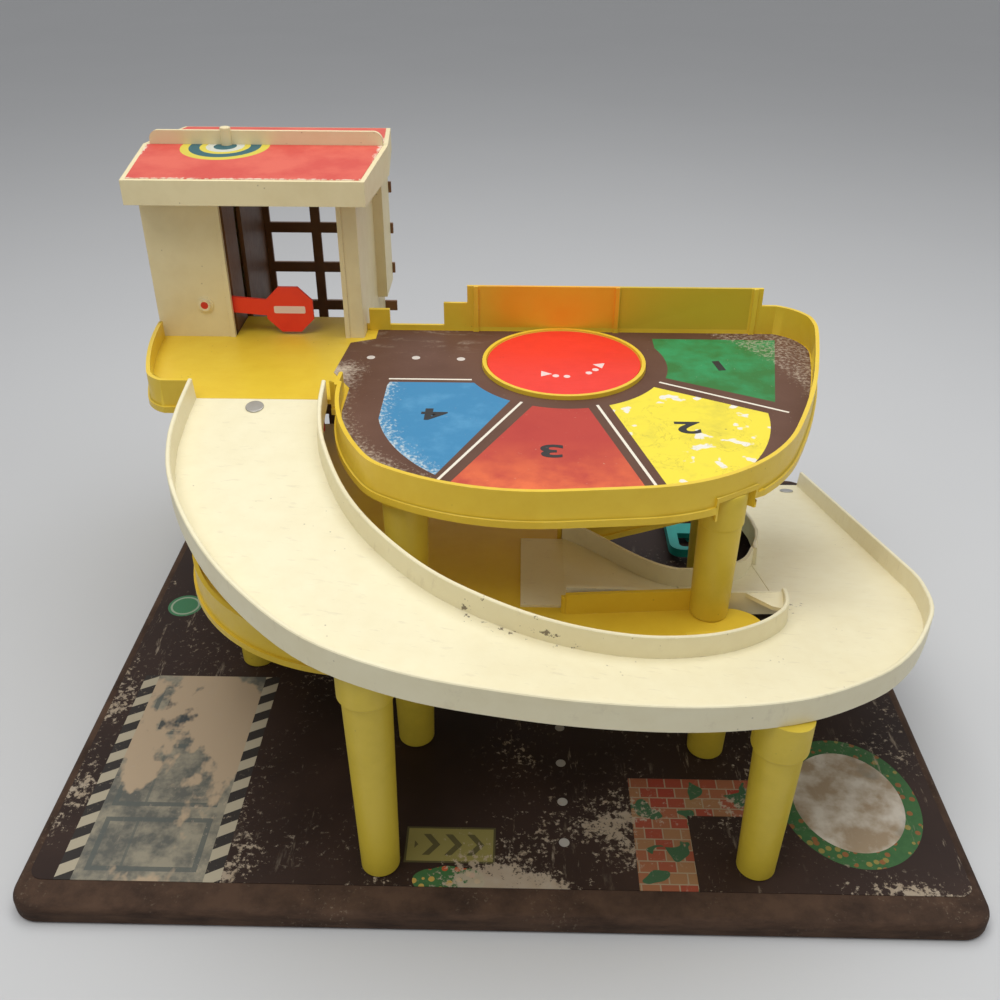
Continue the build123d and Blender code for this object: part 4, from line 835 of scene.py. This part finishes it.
# even steps along a smooth curve through the points
def smoothLine(points, count, parts=24):
    pts = [Vector((*p, 0)) for p in points]
    dense = []
    for i in range(len(pts) - 1):
        a, b = pts[i], pts[i + 1]
        before = pts[i - 1] if i else a * 2 - b
        after = pts[i + 2] if i + 2 < len(pts) else b * 2 - a
        for k in range(parts):
            t = k / parts
            dense.append(((b - before) * (t - 2 * t * t + t ** 3) + (after - a) * (t ** 3 - t * t)) / 2
                         + a * (2 * t ** 3 - 3 * t * t + 1) + b * (3 * t * t - 2 * t ** 3))
    dense.append(pts[-1])
    runs = runsAlong(dense)
    line, j = [], 0
    for k in range(count + 1):
        goal = runs[-1] * k / count
        while j < len(runs) - 2 and runs[j + 1] < goal:
            j += 1
        line.append(dense[j].lerp(dense[j + 1], (goal - runs[j]) / (runs[j + 1] - runs[j])))
    return line


def footHeight(y):
    return ramp["foot"] + ramp["slope"] * (ramp["footY"] - y)


# rows of inner point, outer point and floor height
def rampStations():
    outer = smoothLine(ramp["outer"], ramp["steps"])
    inner = smoothLine(ramp["inner"], ramp["steps"])
    runs = runsAlong([(a + b) / 2 for a, b in zip(outer, inner)])
    short = ramp["head"] - ramp["fall"] * runs[-1] - footHeight(ramp["bendEndY"])
    rows = []
    for a, b, run in zip(outer, inner, runs):
        late = max(0.0, run - runs[-1] + ramp["ease"]) / ramp["ease"]
        rows.append((b, a, ramp["head"] - ramp["fall"] * run - short * late * late))
    for y, right, left in ramp["lower"]:
        rows.append((Vector((left, y, 0)), Vector((right, y, 0)), footHeight(y)))
    return rows


def channelPoints(inner, outer, height):
    across = outer - inner
    long = across.length
    side = across / long
    wall, draft, rim, floor, soft = (ramp[key] for key in ("wall", "draft", "rim", "floor", "soft"))
    join = ramp["join"]
    if inner.x > join["x"] and join["low"] < inner.y < join["high"]:
        near = [(0, -join["soft"]), (join["soft"], 0.0), (join["flat"], 0.0), (wall, 0.0)]
    else:
        near = [(0, rim - soft), (soft, rim), (wall - soft, rim), (wall, rim - soft)]
    section = [(0, -floor), *near, (wall + draft, 0.0), (long - wall - draft, 0.0), (long - wall, rim - soft),
               (long - wall + soft, rim), (long - soft, rim), (long, rim - soft), (long, -floor)]
    return [inner + side * x + Vector((0, 0, height + z)) for x, z in section]


stations = rampStations()


def sweptRamp():
    rings = [channelPoints(*row) for row in stations]
    bm = bmesh.new()
    ring = [bm.verts.new(co) for co in rings[0]]
    edges = [bm.edges.new((ring[i], ring[(i + 1) % len(ring)])) for i in range(len(ring))]
    bmesh.ops.contextual_create(bm, geom=edges)
    for places in rings[1:]:
        grown = bmesh.ops.extrude_edge_only(bm, edges=edges)["geom"]
        edges = [g for g in grown if isinstance(g, bmesh.types.BMEdge)]
        fresh = [g for g in grown if isinstance(g, bmesh.types.BMVert)]
        ring = [min(fresh, key=lambda vert: (vert.co - old.co).length) for old in ring]
        for vert, co in zip(ring, places):
            vert.co = co
    bmesh.ops.contextual_create(bm, geom=edges)
    boss = ramp["bosses"]
    for x, y in boss["places"]:
        reach = footHeight(y) - boss["sunk"] - boss["low"]
        bmesh.ops.create_cone(bm, cap_ends=True, segments=32, radius1=boss["radius"], radius2=boss["radius"],
                              depth=reach, matrix=Matrix.Translation((x, y, boss["low"] + reach / 2)))
    return bm


shipPiece("curvedRamp", sweptRamp(), cream, "garage", "cream", "main_ramp")
print("curved ramp swept")


# posts that stand under the ramp and the top deck, turned with a rounded collar; one without a top meets the ramp
posts = {
    "rampPostLeft": {"at": (-63.0, -187.0), "low": 12.0, "stands": "ramp_leg_left"},
    "rampPostRight": {"at": (137.0, -185.0), "low": 12.0, "stands": "ramp_leg_right"},
    "deckPillarRight": {"at": (116.0, -87.5), "low": 107.0, "top": 189.4, "stands": "pillar_front_right"},
}
postShape = {
    "leg": {"foot": 10.2, "neck": 12.3, "collar": 14.2},
    "pillar": {"foot": 10.8, "neck": 11.6, "collar": 12.4},
    "collarHeight": 22.0, "soft": 0.8, "sunk": 0.6, "spare": 8.0, "segments": 56,
}


# height and normal of the ramp's underside above a post
def rampAbove(spot):
    line = [(inner + outer * 2) / 3 for inner, outer, height in stations]
    best = min(range(1, len(stations) - 1), key=lambda i: (line[i] - spot).length)
    before, after = stations[best - 1], stations[best + 1]
    ahead = ((after[0] + after[1]) - (before[0] + before[1])) / 2
    fall = (after[2] - before[2]) / ahead.length
    direction = ahead.normalized()
    floor = stations[best][2] + fall * (spot - line[best]).dot(direction)
    return floor - ramp["floor"] + postShape["sunk"], Vector((-direction.x * fall, -direction.y * fall, 1.0))


def turnedPost(look):
    x, y = look["at"]
    low, soft, whole = look["low"], postShape["soft"], "top" in look
    shape = postShape["pillar" if whole else "leg"]
    foot, neck, collar = shape["foot"], shape["neck"], shape["collar"]
    under, normal = (look["top"], None) if whole else rampAbove(Vector((x, y, 0)))
    step = under - postShape["collarHeight"]
    profile = [(0, low), (foot - soft, low), (foot, low + soft), (neck, step), (collar - 0.5, step + soft),
               (collar, step + 2 * soft)]
    if whole:
        profile += [(collar, under - 3.0), (collar - 0.9, under - 0.9), (collar - 3.0, under), (0, under)]
    else:
        profile += [(collar, under + postShape["spare"]), (0, under + postShape["spare"])]
    bm = bmesh.new()
    verts = [bm.verts.new((across, 0, z)) for across, z in profile]
    edges = [bm.edges.new(pair) for pair in zip(verts, verts[1:])]
    bmesh.ops.spin(bm, geom=verts + edges, cent=(0, 0, 0), axis=(0, 0, 1), angle=2 * pi,
                   steps=postShape["segments"], use_merge=True)
    bmesh.ops.remove_doubles(bm, verts=bm.verts, dist=0.001)
    bmesh.ops.translate(bm, vec=(x, y, 0), verts=bm.verts)
    if not whole:
        bmesh.ops.bisect_plane(bm, geom=bm.verts[:] + bm.edges[:] + bm.faces[:], plane_co=(x, y, under),
                               plane_no=normal, clear_outer=True)
        bmesh.ops.holes_fill(bm, edges=[e for e in bm.edges if e.is_boundary])
    return bm


for postName, look in posts.items():
    shipPiece(postName, turnedPost(look), postYellow, "garage", "yellow", look["stands"])
print("posts turned")

# top deck with the right pillar's socket cut off flush with the lip under the rim
socket = {
    "axis": (122.5, -99.0), "reach": 15.0, "top": 192.2, "lip": (109.2, -104.6), "away": (0.542, -0.841, 0.0),
}


def trimmedDeck():
    bm = bmesh.new()
    bm.from_mesh(nodes["top_deck"].data)
    bmesh.ops.scale(bm, vec=(1 / mm, 1 / mm, 1 / mm), verts=bm.verts)
    bmesh.ops.remove_doubles(bm, verts=bm.verts, dist=0.01)
    axis = Vector(socket["axis"])
    near = {v for v in bm.verts if (v.co.xy - axis).length < socket["reach"] and v.co.z < socket["top"]}
    faces = [f for f in bm.faces if all(v in near for v in f.verts)]
    geom = faces + list({e for f in faces for e in f.edges}) + list({v for f in faces for v in f.verts})
    bmesh.ops.bisect_plane(bm, geom=geom, plane_co=(*socket["lip"], 0.0), plane_no=socket["away"],
                           clear_outer=True)
    bmesh.ops.holes_fill(bm, edges=[e for e in bm.edges if e.is_boundary])
    bmesh.ops.triangulate(bm, faces=[f for f in bm.faces if len(f.verts) > 4])
    return bm


shipPiece("trimmedTopDeck", trimmedDeck(), agedYellow, "garage", "yellow", "top_deck", sharp=14)
print("top deck trimmed")

# lift cord: wound round the spool, up over the pulley and down to the carriage
cords = {
    "radius": 0.6 * mm, "x": -199.3, "front": 139.0, "back": 171.0, "pulley": 262.0, "spool": (-207.0, 150.0),
    "wrap": 7.7, "lead": 12, "travel": 176.0, "steps": 8,
}


def tube(name, points, radius):
    curve = bpy.data.curves.new(name + "Curve", "CURVE")
    curve.dimensions = "3D"
    curve.bevel_depth = radius
    curve.bevel_resolution = 3
    curve.use_fill_caps = True
    line = curve.splines.new("NURBS")
    line.points.add(len(points) - 1)
    for spot, place in zip(line.points, points):
        spot.co = (*(c * mm for c in place), 1.0)
    line.order_u = 3
    line.use_endpoint_u = True
    line.resolution_u = 10
    obj = curvePiece(name, curve)
    for face in obj.data.polygons:
        face.use_smooth = True
    obj.data.materials.append(cordPaint)
    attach(obj, "garage")
    return obj


spoolX, spoolZ = cords["spool"]
backY, frontY, cordX, pulleyZ, lead = (cords[key] for key in ("back", "front", "x", "pulley", "lead"))
turnZ = pulleyZ + (backY - frontY) / 2
spoolSides = [(0, 1), (-1, 1), (-1, 0), (-1, -1), (0, -1), (1, -1), (1, 0)]
windings = [(spoolX + cords["wrap"] * a, backY, spoolZ + cords["wrap"] * b) for a, b in spoolSides]
hoistCord = tube("hoistCord", windings + [
    (cordX, backY, spoolZ + lead), (cordX, backY, pulleyZ - lead), (cordX, backY, pulleyZ), (cordX, backY, turnZ),
    (cordX, (backY + frontY) / 2, turnZ), (cordX, frontY, turnZ), (cordX, frontY, pulleyZ)], cords["radius"])
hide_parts("lift_cord")
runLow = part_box("lift_cord_run")[0][2] / mm
runSteps = [runLow + (pulleyZ - runLow) * k / cords["steps"] for k in range(cords["steps"] + 1)]
runCord = tube("runCord", [(cordX, frontY, z) for z in runSteps], cords["radius"])
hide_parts("lift_cord_run")
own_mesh(runCord)
print("cord strung")

# stall numbers, read from the turntable's side
numbers = {
    "top": 192.44, "size": 24.0 * mm, "thick": 0.00004, "bold": 0.0007, "stretch": (1.25, 0.80),
    "places": {"4": (-41.9, -14.7, 180), "3": (25.7, -56.8, 180), "2": (104.2, -27.6, 180), "1": (134.9, 57.1, 190)},
}


def textMesh(name, body):
    curve = bpy.data.curves.new(name + "Curve", "FONT")
    curve.body = body
    curve.size = numbers["size"]
    curve.align_x = "CENTER"
    curve.align_y = "CENTER"
    curve.extrude = numbers["thick"]
    curve.offset = numbers["bold"]
    return curvePiece(name, curve)


for digit, (px, py, turn) in numbers["places"].items():
    piece = textMesh("stallNumber" + digit, digit)
    stretch = Matrix.Diagonal((*numbers["stretch"], 1.0, 1.0))
    place = Matrix.Translation((px * mm, py * mm, numbers["top"] * mm))
    piece.data.transform(place @ Matrix.Rotation(radians(turn), 4, "Z") @ stretch)
    piece.data.materials.append(ink)
    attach(piece, "garage")
print("stall numbers placed")

# two curved arrows on the turntable, each a head and two dots
arrows = {
    "hub": (36.0, 57.0), "top": 194.4, "radius": 23.5, "thick": 0.06, "dotRadius": 2.1, "headRadius": 4.6,
    "left": {"head": 238, "dots": (256, 273), "way": -1},
    "right": {"head": 344, "dots": (326, 310), "way": 1},
}


def arrowSpot(angle):
    return Vector((*arrows["hub"], 0)) + Vector((cos(angle), sin(angle), 0)) * arrows["radius"]


def arrowMark(name, look):
    bm = bmesh.new()
    for angle in look["dots"]:
        bmesh.ops.create_circle(bm, cap_ends=True, segments=20, radius=arrows["dotRadius"],
                                matrix=Matrix.Translation(arrowSpot(radians(angle))))
    heading = radians(look["head"])
    turn = Matrix.Rotation(heading + look["way"] * pi / 2, 4, "Z")
    bmesh.ops.create_circle(bm, cap_ends=True, segments=3, radius=arrows["headRadius"],
                            matrix=Matrix.Translation(arrowSpot(heading)) @ turn)
    bmesh.ops.transform(bm, matrix=Matrix.Translation((0, 0, arrows["top"])), verts=bm.verts)
    grown = bmesh.ops.extrude_face_region(bm, geom=bm.faces[:])
    tops = [v for v in grown["geom"] if isinstance(v, bmesh.types.BMVert)]
    bmesh.ops.translate(bm, vec=(0, 0, arrows["thick"]), verts=tops)
    bmesh.ops.scale(bm, vec=(mm, mm, mm), verts=bm.verts)
    bmesh.ops.recalc_face_normals(bm, faces=bm.faces)
    obj = meshPiece(name, bm)
    obj.data.materials.append(whiteInk)
    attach(obj, "turntable")


arrowMark("turntableArrowLeft", arrows["left"])
arrowMark("turntableArrowRight", arrows["right"])
print("turntable arrows placed")

# plain white bar on each stop sign
signs = {"x": -146.5, "drop": 4.7, "front": 99.5, "bar": (21.0, 5.0), "thick": 0.25, "corner": 1.0}


def signBar(name, body, pivotHeight):
    bm = bmesh.new()
    bmesh.ops.create_cube(bm, size=1.0)
    bmesh.ops.scale(bm, vec=(signs["bar"][0], signs["thick"], signs["bar"][1]), verts=bm.verts)
    uprights = [e for e in bm.edges if abs((e.verts[0].co - e.verts[1].co).y) > 0.1]
    bmesh.ops.bevel(bm, geom=uprights, offset=signs["corner"], affect="EDGES", segments=4, profile=0.5, material=-1)
    at = Vector((signs["x"], signs["front"] - signs["thick"] / 2, pivotHeight - signs["drop"]))
    bmesh.ops.translate(bm, vec=at, verts=bm.verts)
    bmesh.ops.scale(bm, vec=(mm, mm, mm), verts=bm.verts)
    obj = meshPiece(name, bm)
    obj.data.materials.append(whiteInk)
    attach(obj, body)


signBar("signBarTop", "stop_arm_top", rivetLook["heights"][0])
signBar("signBarSecond", "stop_arm_second", rivetLook["heights"][1])
print("sign bars placed")

# floor and world
stage = {
    "half": 6.0, "color": (0.60, 0.605, 0.61), "colorDark": (0.57, 0.575, 0.58), "backdrop": (0.56, 0.565, 0.57),
}


def addFloor():
    bm = bmesh.new()
    bmesh.ops.create_grid(bm, x_segments=1, y_segments=1, size=stage["half"])
    floor = meshPiece("floor", bm)
    p = Paint("paleFloor")
    p.set("Base Color", p.mix(stage["color"], stage["colorDark"], p.noise(3.0)))
    p.set("Roughness", 0.7)
    floor.data.materials.append(p.material)


def addWorld():
    world = bpy.data.worlds.new("studio")
    world.use_nodes = True
    scene.world = world
    tree = world.node_tree
    soft = tree.nodes["Background"]
    soft.inputs["Color"].default_value = (*lights["skyColor"], 1.0)
    soft.inputs["Strength"].default_value = lights["sky"]
    seen = tree.nodes.new("ShaderNodeBackground")
    seen.inputs["Color"].default_value = (*stage["backdrop"], 1.0)
    path = tree.nodes.new("ShaderNodeLightPath")
    rays = ("Is Camera Ray", "Is Glossy Ray", "Is Transmission Ray")
    camera, glossy, through = (Wire(tree, path.outputs[ray]) for ray in rays)
    shown = camera.most(glossy).most(through)
    blend = tree.nodes.new("ShaderNodeMixShader")
    tree.links.new(shown.socket, blend.inputs[0])
    tree.links.new(soft.outputs[0], blend.inputs[1])
    tree.links.new(seen.outputs[0], blend.inputs[2])
    tree.links.new(blend.outputs[0], tree.nodes["World Output"].inputs[0])


addFloor()
addWorld()
print("stage set")
